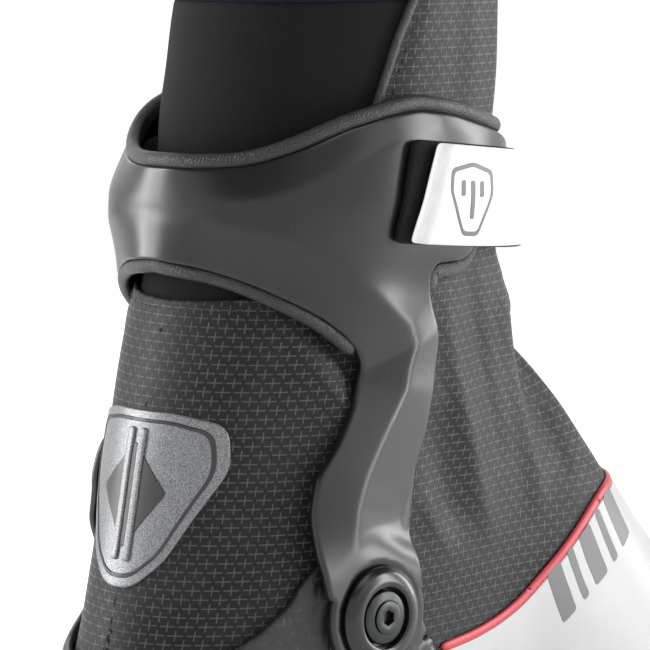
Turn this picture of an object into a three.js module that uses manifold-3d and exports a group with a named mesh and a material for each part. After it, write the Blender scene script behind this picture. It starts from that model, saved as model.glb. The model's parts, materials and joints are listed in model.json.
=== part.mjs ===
// Right-foot skate boot for cross country skiing.
// Millimetres, +X to the toe, +Y to the left (the medial side), +Z up, origin on the ground
// under the middle of the boot.
import * as THREE from "three";
import { mergeVertices } from "three/addons/utils/BufferGeometryUtils.js";
import Module from "manifold-3d";

const wasm = await Module();
wasm.setup();

// ---------------------------------------------------------------- driving dimensions
const HEEL_X = -147;
const TOE_X = 147;
const TOE_LIP_X = 149.7; // front edge of the sole plate
const UPPER_BOTTOM = 13; // underside of the upper, where it meets the sole plate
const GAP = 0.3;
const TOE_SPRING_START = 55;
const TOE_SPRING = 9; // how far the toe tip is lifted off the ground
const PIVOT = { x: -83, z: 87.5 };
const FLEX_RADIUS = 97; // root soft parts stay inside it, cuff soft parts outside it
const STILL_RADIUS = 75.5; // the part of the cover inside it keeps its shape as the cuff flexes
const INNER_RADIUS = 86; // top of the inner boot, clear of the flexed cuff
const ROOT_RAY = 26.5; // degrees above the horizontal at the pivot, front limit of the root
const CUFF_RAY = 47.2; // front limit of what moves with the cuff
const COLLAR_TOP = 252;
const GAITER_TOP = 262;
const MIN_HALF_WIDTH = 0.8;
const SIDES = { lateral: -1, medial: 1 };

// Layers of the upper, as distances from its outer surface.
const COVER = { outer: 0, inner: -1.5 };
const COLLAR = { outer: -1.8, inner: -4.8 };
const HEM = { outer: -1.8, inner: -5.4 };
const INNER_BOOT = { outer: -8.4, inner: -11.4 };
const STIFFENER = { outer: -1.9, inner: -4.3 };
const EYESTAY = { outer: -6.8, inner: -7.9 };
const OVERLAY = { outer: 1.1, inner: 0.3 };
const PIPING = { outer: 1.7, inner: 0.3 };
const PATCH = { outer: 1.0, inner: 0.3 };
const ZIP = { outer: 1.5, inner: 0.35 };
const CHASSIS = { outer: 3.4, inner: 0.4 };

// Layers of the cuff, as distances from its shell's outer surface.
const SHELL_THICKNESS = 2.4;
const STRAP_BASE = { outer: 2.3, inner: 0.4 };
const STRAP_UPPER = { outer: 4.0, inner: 2.7 };
const STRAP_TAB = { outer: 6.6, inner: 4.3 };

const TREAD_TOP = 8;
const PLATE = { bottom: 8.3, top: 12.7 };
const BOARD = { bottom: 14.8, top: 18.8 };
const INSOLE = { bottom: 26.6, top: 29.6 };
const TOE_BAR = { x: 131, radius: 2.2, halfLength: 16.5, aboveGround: 3.6 };

// ---------------------------------------------------------------- curves and outlines

// Smooth curve through points of rising t that never overshoots them.
function curve(points) {
  const t = points.map((p) => p[0]);
  const v = points.map((p) => p[1]);
  const step = t.slice(1).map((value, i) => value - t[i]);
  const rise = v.slice(1).map((value, i) => (value - v[i]) / step[i]);
  const slope = v.map((_, i) => {
    if (i === 0) return rise[0];
    if (i === v.length - 1) return rise[i - 1];
    if (rise[i - 1] * rise[i] <= 0) return 0;
    const before = 2 * step[i] + step[i - 1];
    const after = step[i] + 2 * step[i - 1];
    return (before + after) / (before / rise[i - 1] + after / rise[i]);
  });
  return (at) => {
    const x = Math.min(Math.max(at, t[0]), t[t.length - 1]);
    let i = 0;
    while (i < t.length - 2 && x >= t[i + 1]) i += 1;
    const s = (x - t[i]) / step[i];
    const s2 = s * s;
    const s3 = s2 * s;
    return (2 * s3 - 3 * s2 + 1) * v[i] + (s3 - 2 * s2 + s) * step[i] * slope[i]
      + (3 * s2 - 2 * s3) * v[i + 1] + (s3 - s2) * step[i] * slope[i + 1];
  };
}

// The leg part of the upper: where its back, front and sides are at each height.
const legBack = curve([
  [0, -139], [18, -144], [35, HEEL_X], [55, -146], [85, -139.5], [118, -132.5],
  [143, -126.5], [170, -116.5], [195, -111], [220, -108], [245, -103.5], [270, -98],
]);
const legFront = curve([
  [0, -33], [60, -13], [100, -1], [135, 4], [160, 4], [180, -5], [200, -9], [235, -8.5], [270, -3],
]);
const legHalf = curve([
  [0, 31], [18, 33], [40, 35.5], [60, 37], [85, 38.5], [118, 39.5], [150, 40.5], [180, 41],
  [220, 41.5], [270, 40.5],
]);
const legMiddle = curve([[0, -98], [60, -88], [100, -79], [150, -71], [200, -60], [270, -53]]);

// The foot part: its top line in side view, and its plan.
const INSTEP = [
  [-153, 230], [-93, 205], [-43, 180], [-3, 159], [7, 151], [20, 140], [28, 130], [35, 120],
  [42, 110], [50, 100], [67, 82], [92, 66], [117, 54], [135, 44], [144, 33], [TOE_X, 20],
];
const instepZ = curve(INSTEP);
const instepX = curve(INSTEP.map(([x, z]) => [z, x]).reverse());
const footPlan = {
  lateral: curve([
    [-128, 0], [-118, 12], [-98, 28], [-63, 35], [-23, 38], [17, 45], [47, 49], [77, 47],
    [107, 40], [127, 30], [139, 17.5], [145.5, 6], [TOE_X, 0],
  ]),
  medial: curve([
    [-128, 0], [-118, 12], [-98, 28], [-63, 33], [-23, 33], [17, 40], [47, 46], [77, 46],
    [107, 43], [127, 36], [139, 24], [145.5, 9], [TOE_X, 0],
  ]),
};

// The cuff shell's outer surface at each height.
const cuffBack = curve([
  [60, -134], [150, -132], [170, -124.5], [181, -122], [200, -120], [215, -116.5], [226, -113],
]);
const cuffFront = curve([[60, 0], [180, 0], [226, -2]]);
const cuffHalf = curve([
  [60, 47.5], [87, 47.5], [110, 47], [135, 46], [150, 45.5], [165, 45.5], [180, 46], [200, 48],
  [226, 48],
]);
const cuffMiddle = curve([[60, -82], [120, -80], [180, -66], [226, -65]]);
const cuffRoundness = curve([[60, 5], [120, 4], [150, 2.8], [180, 2.3], [226, 2.2]]);

// How far the sole curls up at x.
function toeSpring(x) {
  const along = Math.max(0, (x - TOE_SPRING_START) / (TOE_X - TOE_SPRING_START));
  return TOE_SPRING * along * along;
}

// Half-width of a rounded section whose ends are at back and front.
function ovalHalf(x, back, middle, front, half, power) {
  const reach = x < middle ? (middle - x) / (middle - back) : (x - middle) / (front - middle);
  const q = Math.min(Math.max(reach, 0), 1);
  return half * (1 - q ** power) ** (1 / power);
}

// Half-width of the upper at a point of its side view: the leg blended into the foot.
function upperHalf(x, z, side) {
  const leg = ovalHalf(x, legBack(z), legMiddle(z), legFront(z), legHalf(z), 2.1);
  const fill = Math.sqrt(Math.max(0, 1 - (Math.max(z, 0) / instepZ(x)) ** 2.4));
  const foot = footPlan[side](x) * fill;
  return (leg ** 5 + foot ** 5) ** 0.2;
}

function cuffHalfAt(x, z) {
  return ovalHalf(x, cuffBack(z), cuffMiddle(z), cuffFront(z), cuffHalf(z), cuffRoundness(z));
}

function arc(centre, radius, fromDegrees, toDegrees, steps) {
  return Array.from({ length: steps + 1 }, (_, i) => {
    const angle = THREE.MathUtils.degToRad(fromDegrees + ((toDegrees - fromDegrees) * i) / steps);
    return [centre.x + radius * Math.cos(angle), centre.z + radius * Math.sin(angle)];
  });
}

// A line moved sideways, to the left of its own direction.
function shiftLine(points, distance) {
  return points.map((point, i) => {
    const before = points[Math.max(i - 1, 0)];
    const after = points[Math.min(i + 1, points.length - 1)];
    const length = Math.hypot(after[0] - before[0], after[1] - before[1]);
    return [
      point[0] - (distance * (after[1] - before[1])) / length,
      point[1] + (distance * (after[0] - before[0])) / length,
    ];
  });
}

// ---------------------------------------------------------------- solids

function toSolid(geometry) {
  const bare = geometry.clone();
  bare.deleteAttribute("normal");
  bare.deleteAttribute("uv");
  const merged = mergeVertices(bare, 1e-4);
  const corners = [];
  const index = merged.index.array;
  for (let i = 0; i < index.length; i += 3) {
    const [a, b, c] = [index[i], index[i + 1], index[i + 2]];
    if (a !== b && b !== c && c !== a) corners.push(a, b, c);
  }
  return new wasm.Manifold(new wasm.Mesh({
    numProp: 3,
    vertProperties: Float32Array.from(merged.attributes.position.array),
    triVerts: Uint32Array.from(corners),
  }));
}

function toGeometry(solid) {
  const mesh = solid.getMesh();
  const geometry = new THREE.BufferGeometry();
  geometry.setAttribute("position", new THREE.BufferAttribute(mesh.vertProperties, 3));
  geometry.setIndex(new THREE.BufferAttribute(mesh.triVerts, 1));
  return geometry;
}

// Skins closed sections of equal point count; each section runs along one side and back.
function loft(sections) {
  const count = sections[0].length;
  const half = count / 2;
  const corners = [];
  for (let i = 0; i < sections.length - 1; i += 1) {
    for (let j = 0; j < count; j += 1) {
      const next = (j + 1) % count;
      const [a, b] = [i * count + j, i * count + next];
      const [c, d] = [a + count, b + count];
      corners.push(a, b, c, b, d, c);
    }
  }
  const last = (sections.length - 1) * count;
  for (let j = 0; j < half - 1; j += 1) {
    const [a, b] = [j, j + 1];
    const [c, d] = [count - 1 - j, count - 2 - j];
    corners.push(a, c, b, b, c, d);
    corners.push(last + a, last + b, last + c, last + b, last + d, last + c);
  }
  const geometry = new THREE.BufferGeometry();
  geometry.setAttribute("position", new THREE.Float32BufferAttribute(sections.flat(2), 3));
  geometry.setIndex(corners);
  return geometry;
}

// Moves a lofted surface out along its normals; an edge on the sole moves down as well.
function swell(geometry, distance) {
  geometry.computeVertexNormals();
  const position = geometry.attributes.position;
  const normal = geometry.attributes.normal;
  for (let i = 0; i < position.count; i += 1) {
    const n = new THREE.Vector3().fromBufferAttribute(normal, i);
    const p = new THREE.Vector3().fromBufferAttribute(position, i);
    if (p.z < UPPER_BOTTOM + toeSpring(p.x) + 0.01) {
      n.z = 0;
      n.normalize();
      n.z = -1;
    }
    const lowest = UPPER_BOTTOM + toeSpring(p.x) - distance;
    p.addScaledVector(n, distance);
    if (distance < 0) p.z = Math.max(p.z, lowest);
    position.setXYZ(i, p.x, p.y, p.z);
  }
  return geometry;
}

function section(from, to, steps, halfLateral, halfMedial) {
  const points = Array.from({ length: steps + 1 }, (_, i) => {
    const s = (1 - Math.cos((Math.PI * i) / steps)) / 2;
    return { x: from.x + (to.x - from.x) * s, z: from.z + (to.z - from.z) * s };
  });
  const place = (p, y) => [p.x, y, p.z + toeSpring(p.x)];
  const lateral = points.map((p) => place(p, -Math.max(halfLateral(p.x, p.z), MIN_HALF_WIDTH)));
  const medial = points.map((p) => place(p, Math.max(halfMedial(p.x, p.z), MIN_HALF_WIDTH)));
  return [...lateral, ...medial.reverse()];
}

// Where a line from outside enters and leaves the upper's side view.
const FAN_CENTRE = { x: 46, z: 164 };
function crossSideView(direction) {
  const inside = (t) => {
    const x = FAN_CENTRE.x + direction.x * t;
    const z = FAN_CENTRE.z + direction.z * t;
    return z >= UPPER_BOTTOM && x >= legBack(z) && x <= Math.max(legFront(z), instepX(z));
  };
  const refine = (outside, within) => {
    let [a, b] = [outside, within];
    for (let i = 0; i < 30; i += 1) {
      const middle = (a + b) / 2;
      if (inside(middle)) b = middle;
      else a = middle;
    }
    return { x: FAN_CENTRE.x + direction.x * b, z: FAN_CENTRE.z + direction.z * b };
  };
  let enter = 0;
  while (!inside(enter)) enter += 1;
  let leave = enter;
  while (inside(leave)) leave += 1;
  return [refine(enter - 1, enter), refine(leave, leave - 1)];
}

// The upper as one solid, swollen by a distance: level slices up the leg, a fan of slices
// round the ankle, and upright slices along the foot.
const UPPER_STEPS = 8;
const LEG_SLICES = [276, 256, 236, 216, 198, 181, FAN_CENTRE.z];
const FAN_DEGREES = [14, 25, 31, 35.5, 38.6, 43, 52, 64, 77]; // closest at the heel's corner
const FOOT_SLICES = [FAN_CENTRE.x, 62, 80, 98, 114, 127, 137, 143.5, 146.4];
const DEEP_FOOT_SLICES = FOOT_SLICES.slice(0, -2); // a deep layer stops short of the thin toe tip
const DEEP = -5;
const skins = new Map();
function upperSkin(distance) {
  if (skins.has(distance)) return skins.get(distance);
  const ends = [];
  for (const z of LEG_SLICES) {
    ends.push([{ x: Math.max(legFront(z), instepX(z)), z }, { x: legBack(z), z }]);
  }
  for (const degrees of FAN_DEGREES) {
    const angle = THREE.MathUtils.degToRad(degrees);
    ends.push(crossSideView({ x: -Math.cos(angle), z: -Math.sin(angle) }));
  }
  for (const x of distance < DEEP ? DEEP_FOOT_SLICES : FOOT_SLICES) {
    ends.push([{ x, z: instepZ(x) }, { x, z: UPPER_BOTTOM }]);
  }
  const sections = ends.map(([from, to]) => section(from, to, UPPER_STEPS,
    (x, z) => upperHalf(x, z, "lateral"), (x, z) => upperHalf(x, z, "medial")));
  const solid = toSolid(swell(loft(sections), distance));
  skins.set(distance, solid);
  return solid;
}

const CUFF_STEPS = 9;
const cuffSkins = new Map();
function cuffSkin(distance) {
  if (cuffSkins.has(distance)) return cuffSkins.get(distance);
  const sections = [235, 220, 206, 192, 178, 165, 150, 130, 105, 60]
    .map((z) => section({ x: cuffFront(z), z }, { x: cuffBack(z), z }, CUFF_STEPS,
      cuffHalfAt, cuffHalfAt));
  const solid = toSolid(swell(loft(sections), distance));
  cuffSkins.set(distance, solid);
  return solid;
}

const layer = (skin, { outer, inner }) => skin(outer).subtract(skin(inner));

// A prism across the boot from an outline in side view.
const ACROSS = 90;
function sidePrism(points, from = -ACROSS, to = ACROSS) {
  const shape = new THREE.Shape(points.map(([x, z]) => new THREE.Vector2(x, z)));
  const geometry = new THREE.ExtrudeGeometry(shape, { depth: to - from, bevelEnabled: false });
  geometry.rotateX(Math.PI / 2);
  geometry.translate(0, to, 0);
  return toSolid(geometry);
}

// A prism along the boot from an outline in rear view (y, z).
function rearPrism(points, from, to) {
  const shape = new THREE.Shape(points.map(([y, z]) => new THREE.Vector2(y, z)));
  const geometry = new THREE.ExtrudeGeometry(shape, { depth: to - from, bevelEnabled: false });
  geometry.rotateX(Math.PI / 2);
  geometry.rotateZ(Math.PI / 2);
  geometry.translate(from, 0, 0);
  return toSolid(geometry);
}

function block(low, high) {
  const size = high.map((value, i) => value - low[i]);
  const geometry = new THREE.BoxGeometry(...size);
  geometry.translate(...high.map((value, i) => (value + low[i]) / 2));
  return toSolid(geometry);
}

// A round bar across the boot.
function crossBar(x, z, radius, from, to, sides = 14) {
  const geometry = new THREE.CylinderGeometry(radius, radius, to - from, sides);
  geometry.translate(x, (from + to) / 2, z);
  return toSolid(geometry);
}

// A flat layer of the sole between two x, following the toe spring.
function soleSlab(fromX, toX, bottom, top, halfLateral, halfMedial, steps = 12) {
  const sections = Array.from({ length: steps + 1 }, (_, i) => {
    const x = fromX + ((toX - fromX) * (1 - Math.cos((Math.PI * i) / steps))) / 2;
    const [low, high] = [bottom + toeSpring(x), top + toeSpring(x)];
    const [right, left] = [-halfLateral(x), halfMedial(x)];
    return [[x, right, high], [x, right, low], [x, left, low], [x, left, high]];
  });
  return toSolid(loft(sections));
}

function soleEdge(side, inset, least = 2) {
  return (x) => Math.max(upperHalf(x, UPPER_BOTTOM, side) - inset, least);
}

// Point at a distance from the upper's surface above a place on the foot's plan.
function overFoot(x, y, distance) {
  const side = y < 0 ? "lateral" : "medial";
  const excess = (px, py, z) => upperHalf(px, z, side) - Math.abs(py);
  let [low, high] = [UPPER_BOTTOM, instepZ(x)];
  for (let i = 0; i < 40; i += 1) {
    const middle = (low + high) / 2;
    if (excess(x, y, middle) > 0) low = middle;
    else high = middle;
  }
  const step = 0.5;
  const slope = new THREE.Vector3(
    excess(x + step, y, low - step) - excess(x - step, y, low - step),
    excess(x, y + step, low - step) - excess(x, y - step, low - step),
    excess(x, y, low - step) - excess(x, y, low - 3 * step),
  ).negate().normalize();
  return new THREE.Vector3(x, y, low + toeSpring(x)).addScaledVector(slope, distance);
}

function tube(points, radius, steps, sides) {
  const ring = new THREE.Shape(Array.from({ length: sides }, (_, i) => {
    const angle = (2 * Math.PI * i) / sides;
    return new THREE.Vector2(radius * Math.cos(angle), radius * Math.sin(angle));
  }));
  const path = new THREE.CatmullRomCurve3(points, false, "centripetal");
  return new THREE.ExtrudeGeometry(ring, { extrudePath: path, steps, bevelEnabled: false });
}

// ---------------------------------------------------------------- regions of the boot

// Side views of what stays with the foot and what moves with the cuff.
const rayOut = (degrees, radius) => arc(PIVOT, radius, degrees, degrees, 1)[0];
const footRegion = (radius) => sidePrism([
  [-200, -10], [200, -10], rayOut(ROOT_RAY, 300), ...arc(PIVOT, radius, ROOT_RAY, 180, 18),
  [-200, PIVOT.z],
]);
const rootRegion = footRegion(FLEX_RADIUS);
const cuffRegion = sidePrism([
  rayOut(CUFF_RAY, 400), [-300, 400], [-300, PIVOT.z],
  ...arc(PIVOT, FLEX_RADIUS + 3 * GAP, 180, CUFF_RAY, 18),
]);

// Top edge of the heel chassis, from the back of the heel over the pivot ear to the front.
const CHASSIS_EDGE = [
  [-150, 72], [-140, 74], [-128, 77.5], [-118, 82], [-112, 86.5], [-105, 93], [-103, 97],
  [-98, 102.5], [-90, 106], [-80, 105.5], [-72, 100], [-66, 91], [-62, 82], [-57, 74], [-46, 60],
  [-30, 43], [-8, 29], [16, 21], [30, 13.4],
];

// Edge of the white toe overlay, from the side of the heel forward and up over the instep.
const OVERLAY_EDGE = [
  [-52, 72.5], [-38, 73.5], [-25, 76.3], [-16, 80], [-9, 85], [-1, 91], [8, 98.5], [16, 106],
  [22, 110.5], [31, 113], [48, 114],
];

// Rear edge of the softshell on the leg.
const GAITER_EDGE = [[-80.5, 200], [-76.2, 222], [-69, 240], [-63.7, 250], [-58, 270]];

// Side view of the cuff shell: a band round the leg on two arms that come down to the pivot.
const CUFF_TOP = [
  [-20, 210.5], [-28, 213.2], [-39.2, 216], [-53.3, 219.6], [-67, 221.5], [-75.6, 220.5],
  [-90, 217], [-101.6, 212], [-110.8, 208.5], [-118, 206.7], [-128, 206.5],
];
const CUFF_WINDOW = [
  [-128, 182], [-121.8, 181.9], [-119.4, 180.3], [-113, 177], [-103.2, 171.6], [-95.9, 167.4],
  [-89, 162],
];
const ARM_REAR = [
  [-85.5, 158], [-83.7, 153.4], [-87.5, 143.5], [-94.3, 133.2], [-101, 126], [-103.4, 118],
  [-103.2, 105.2], [-100.6, 94],
];
const ARM_FRONT = [
  [-66.4, 92], [-67.2, 101], [-66.6, 110], [-63.9, 124.7], [-59.6, 135], [-57, 148.3],
  [-55.8, 158], [-57, 163.5], [-60.5, 171], [-61.5, 177], [-59.5, 180], [-49, 180], [-45.5, 182],
];
const ARM_END = arc(PIVOT, 17, 160, 380, 9);

const HEEL_PATCH = [
  [-22, 139.5], [-12, 142.5], [12, 142.5], [22, 139.5], [24, 130], [14, 103], [9, 98.5],
  [-9, 98.5], [-14, 103], [-24, 130],
];

// ---------------------------------------------------------------- sole

function soleGrooves(solid, fromX, toX) {
  const cut = [-1, 1].map((side) => {
    const [near, far] = side < 0 ? [13, -8] : [-8, 13];
    return soleSlab(fromX - 5, toX + 5, -2, 2.6, () => near, () => far, 8);
  });
  for (let x = fromX + 12; x < toX - 6; x += 19) {
    const rise = toeSpring(x + 2);
    cut.push(block([x, 20, -6], [x + 4, 70, 2.6 + rise]));
    cut.push(block([x, -70, -6], [x + 4, -20, 2.6 + rise]));
  }
  return cut.reduce((rest, tool) => rest.subtract(tool), solid);
}

function tread(fromX, toX) {
  const slab = soleSlab(fromX, toX, 0, TREAD_TOP, soleEdge("lateral", 1), soleEdge("medial", 1), 10);
  return soleGrooves(slab, fromX, toX);
}

// The plate ends at the toe in a lip as wide as the binding block.
function solePlate() {
  const lip = TOE_BAR.halfLength + 1.5;
  return soleSlab(-141, TOE_LIP_X, PLATE.bottom, PLATE.top,
    (x) => soleEdge("lateral", -0.6, x > 0 ? lip : 2)(x),
    (x) => soleEdge("medial", -0.6, x > 0 ? lip : 2)(x), 18);
}

const BAR_Z = TOE_BAR.aboveGround + toeSpring(TOE_BAR.x);
function bindingBlock() {
  const half = () => TOE_BAR.halfLength + 1.5;
  const body = soleSlab(117, 142, 0.8, PLATE.bottom - GAP, half, half, 8);
  const slot = block([TOE_BAR.x - 7.5, -11, 0], [TOE_BAR.x + 7.5, 11, BAR_Z + 3.2]);
  const bore = crossBar(TOE_BAR.x, BAR_Z, TOE_BAR.radius + GAP, -16.8, 16.8, 16);
  return body.subtract(slot).subtract(bore);
}

function toeBar() {
  return crossBar(TOE_BAR.x, BAR_Z, TOE_BAR.radius, -TOE_BAR.halfLength, TOE_BAR.halfLength, 16);
}

function midsoleBoard() {
  return soleSlab(-121, 130, BOARD.bottom, BOARD.top, soleEdge("lateral", 8.5), soleEdge("medial", 8.5));
}

function insole() {
  return soleSlab(-114, 96, INSOLE.bottom, INSOLE.top, soleEdge("lateral", 17),
    soleEdge("medial", 17));
}

// ---------------------------------------------------------------- upper on the foot

function heelChassis() {
  const lowest = UPPER_BOTTOM + 0.1;
  const outline = [[-160, lowest], [-160, 72], ...CHASSIS_EDGE.slice(0, -1), [30, lowest]];
  return layer(upperSkin, CHASSIS).intersect(sidePrism(outline))
    .subtract(crossBar(PIVOT.x, PIVOT.z, 4.1, -60, 60, 14));
}

function bootCover() {
  return layer(upperSkin, COVER).intersect(footRegion(STILL_RADIUS));
}

// The stretch panel that goes on from the cover up into the cuff.
function anklePanel() {
  return layer(upperSkin, COVER).intersect(sidePrism([
    ...arc(PIVOT, FLEX_RADIUS, ROOT_RAY + 0.5, 180, 18),
    ...arc(PIVOT, STILL_RADIUS + GAP, 180, ROOT_RAY + 0.5, 18),
  ]));
}

// The inner boot's throat over the instep; the tongue fills it with a gap all round.
function throatArea(inset) {
  const outline = [
    [74 - 26 * inset, 66 + 19 * inset], [30, 97 + inset], [-30 + inset, 104 + inset],
    [-30 + inset, 220], [130 - 2 * inset, 220],
  ];
  return sidePrism(outline, inset - 13, 13 - inset);
}

function innerBoot() {
  return layer(upperSkin, INNER_BOOT).intersect(footRegion(INNER_RADIUS)).subtract(throatArea(0));
}

function tongue() {
  return layer(upperSkin, INNER_BOOT).intersect(rootRegion).intersect(throatArea(0.5));
}

function eyestay(side) {
  const [from, to] = side < 0 ? [-23, -14] : [14, 23];
  const area = sidePrism([[70, 60], [28, 90], [-26, 100], [-26, 220], [130, 220]], from, to);
  return layer(upperSkin, EYESTAY).intersect(rootRegion).intersect(area);
}

function heelCounter() {
  const area = sidePrism([[-160, 19.2], [-66, 19.2], [-66, 50], [-84, 74], [-160, 74]]);
  return layer(upperSkin, STIFFENER).intersect(area);
}

function toePuff() {
  const area = sidePrism([[100, BOARD.top + toeSpring(100) + 0.4], [160, 30], [160, 90], [100, 90]]);
  return layer(upperSkin, STIFFENER).intersect(area);
}

// The overlay's lower edge stays off the sole plate and the chassis.
const OVERLAY_FOOT = [150, 135, 120, 105, 90, 72, 55, 32].map((x) => [x, 13.2 + toeSpring(x)]);
function toeOverlay() {
  const beside = shiftLine(CHASSIS_EDGE.slice(14), 0.5).reverse();
  const outline = [...OVERLAY_EDGE, [160, 114], [160, 20], ...OVERLAY_FOOT, ...beside];
  return layer(upperSkin, OVERLAY).intersect(sidePrism(outline));
}

function overlayPiping() {
  const outline = [...shiftLine(OVERLAY_EDGE, GAP), ...shiftLine(OVERLAY_EDGE, 2.4).reverse()];
  return layer(upperSkin, PIPING).intersect(sidePrism(outline));
}

function heelPatch() {
  return layer(upperSkin, PATCH).intersect(rearPrism(HEEL_PATCH, -160, -90));
}

function zipLower() {
  const area = sidePrism([[20, 118], [60, 118], [60, 170], [-20, 170]], 13, 19);
  return layer(upperSkin, ZIP).intersect(rootRegion).intersect(area);
}

// Two laces zigzag up the tongue, one over the other, and run straight through the lock.
const LACE_RADIUS = 0.9;
const LACE_ROWS = [62, 53.5, 45, 37.5];
const LOCK = { x: 27, halfLength: 4.5, tailSpacing: 2.8, distance: -5.9 };
const lockCentre = overFoot(LOCK.x, 0.01, LOCK.distance);
const lockAhead = overFoot(LOCK.x + 5, 0.01, LOCK.distance);
const lockUp = lockCentre.clone().sub(lockAhead).setY(0).normalize();
function laceRoute(side, distance) {
  const route = [];
  LACE_ROWS.slice(0, -1).forEach((x, row) => {
    const sign = row % 2 === 0 ? side : -side;
    const nextX = LACE_ROWS[row + 1];
    for (const s of [0, 0.25, 0.5, 0.75]) {
      route.push(overFoot(x + (nextX - x) * s, sign * 14.5 * (1 - 2 * s) + 0.01, distance));
    }
  });
  const endSide = LACE_ROWS.length % 2 === 0 ? -side : side;
  route.push(overFoot(LACE_ROWS[LACE_ROWS.length - 1], endSide * 14, distance));
  route.push(overFoot(LACE_ROWS[LACE_ROWS.length - 1] - 1.5, endSide * 8, (distance + LOCK.distance) / 2));
  for (const along of [-LOCK.halfLength - 2, -LOCK.halfLength - 0.5, LOCK.halfLength + 5.5]) {
    const tail = lockCentre.clone().addScaledVector(lockUp, along);
    tail.y = endSide * LOCK.tailSpacing;
    route.push(tail);
  }
  return route;
}

function lace(side, distance) {
  return tube(laceRoute(side, distance), LACE_RADIUS, 26, 6);
}

function laceLock() {
  const [width, height, corner] = [5.6, 1.9, 1.2];
  const shape = new THREE.Shape();
  shape.moveTo(-width + corner, -height);
  shape.lineTo(width - corner, -height);
  shape.lineTo(width, -height + corner);
  shape.lineTo(width, height - corner);
  shape.lineTo(width - corner, height);
  shape.lineTo(-width + corner, height);
  shape.lineTo(-width, height - corner);
  shape.lineTo(-width, -height + corner);
  for (const side of [-1, 1]) {
    const hole = new THREE.Path();
    hole.absarc(side * LOCK.tailSpacing, 0, LACE_RADIUS + 0.4, 0, 2 * Math.PI);
    shape.holes.push(hole);
  }
  const options = { depth: 2 * LOCK.halfLength, bevelEnabled: false, curveSegments: 6 };
  const geometry = new THREE.ExtrudeGeometry(shape, options);
  geometry.translate(0, 0, -LOCK.halfLength);
  const across = new THREE.Vector3(0, 1, 0);
  const outward = new THREE.Vector3().crossVectors(lockUp, across);
  geometry.applyMatrix4(new THREE.Matrix4().makeBasis(across, outward, lockUp));
  geometry.translate(lockCentre.x, lockCentre.y, lockCentre.z);
  return geometry;
}

// ---------------------------------------------------------------- pivots

// A round piece about the pivot axis from (radius, distance from the boot's middle) points.
function pivotTurning(profile, side, segments = 14) {
  const geometry = new THREE.LatheGeometry(
    profile.map(([radius, reach]) => new THREE.Vector2(radius, reach)), segments);
  if (side < 0) geometry.rotateX(Math.PI);
  geometry.translate(PIVOT.x, 0, PIVOT.z);
  return geometry;
}

const closed = (profile) => [...profile, profile[0]];
const BUSH = closed([[3.95, 44.5], [5.9, 44.5], [5.9, 48], [3.95, 48]]);
const WASHER = closed([[6.3, 44.3], [12, 44.3], [12, 44.8], [6.3, 44.8]]);
const SCREW = [
  [0, 41.4], [3.6, 41.4], [3.6, 48.4], [7.3, 48.4], [7.3, 49.6], [6.6, 50.4], [4.6, 50.4],
  [4.2, 51], [2.3, 51], [2.1, 50.8], [2.1, 49.2], [0, 49.2],
];
const RING = closed([[8.2, 47.8], [13.4, 47.8], [13.4, 48.6], [11.6, 50.2], [9, 50.6], [8.2, 50.2]]);

// ---------------------------------------------------------------- cuff

function cuffShell() {
  const outline = [
    ...CUFF_TOP, ...CUFF_WINDOW, ...ARM_REAR, ...ARM_END, ...ARM_FRONT, [-30, 198],
  ];
  const band = cuffSkin(0).subtract(cuffSkin(-SHELL_THICKNESS));
  return band.intersect(sidePrism(outline))
    .subtract(crossBar(PIVOT.x, PIVOT.z, 6.4, -60, 60, 14));
}

// Padded binding along an edge of the shell, from the lateral side round the back.
function cuffRim(edge, frontX, lift, radius, steps) {
  const height = curve(edge.map(([x, z]) => [x, z]).sort((a, b) => a[0] - b[0]));
  const points = [];
  const count = 26;
  for (let i = 0; i <= count; i += 1) {
    const turn = Math.PI * (i / count);
    const back = cuffBack(height(-120)) + SHELL_THICKNESS / 2;
    const x = back + (frontX - back) * (1 - Math.abs(Math.sin(turn)) ** 1.2);
    const z = height(x) + lift;
    const y = Math.max(cuffHalfAt(x - SHELL_THICKNESS / 2, z) - SHELL_THICKNESS / 2, 0);
    points.push(new THREE.Vector3(x, turn < Math.PI / 2 ? -y : y, z));
  }
  return tube(points, radius, steps, 6);
}

function cuffPadding() {
  const area = sidePrism([
    [-44, 186], [-44, 208], [-67, 216], [-90, 211], [-118, 201.5], [-128, 201.5], [-128, 187],
    [-104, 187], [-70, 186],
  ]);
  return cuffSkin(-SHELL_THICKNESS - 0.4).subtract(upperSkin(0.9)).intersect(cuffRegion)
    .intersect(area);
}

// ---------------------------------------------------------------- leg sleeve

function collar() {
  const area = block([-200, -90, 100], [60, 90, COLLAR_TOP - 4]);
  return layer(upperSkin, COLLAR).intersect(cuffRegion).intersect(area);
}

function collarHem() {
  const area = block([-200, -90, COLLAR_TOP - 4 + GAP], [60, 90, COLLAR_TOP + 1]);
  return layer(upperSkin, HEM).intersect(area);
}

function coverUpper() {
  const outline = [
    [80, 60], [80, GAITER_TOP], [-60.4, GAITER_TOP], [-63.7, 250], [-69, 240], [-76.2, 222],
    [-80.5, 200], [-83, 150],
  ];
  return layer(upperSkin, COVER).intersect(cuffRegion).intersect(sidePrism(outline));
}

function gaiterPiping(side) {
  const outline = [...shiftLine(GAITER_EDGE, GAP), ...shiftLine(GAITER_EDGE, 2.4).reverse()];
  const area = sidePrism(outline, side < 0 ? -ACROSS : 0, side < 0 ? 0 : ACROSS);
  const below = block([-200, -90, 190], [200, 90, GAITER_TOP - 0.5]);
  return layer(upperSkin, { outer: 0.5, inner: -1.5 }).intersect(area).intersect(below);
}

function zipUpper() {
  return layer(upperSkin, ZIP).intersect(block([-40, 15, 216], [40, 21, 259]));
}

// ---------------------------------------------------------------- strap

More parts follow.
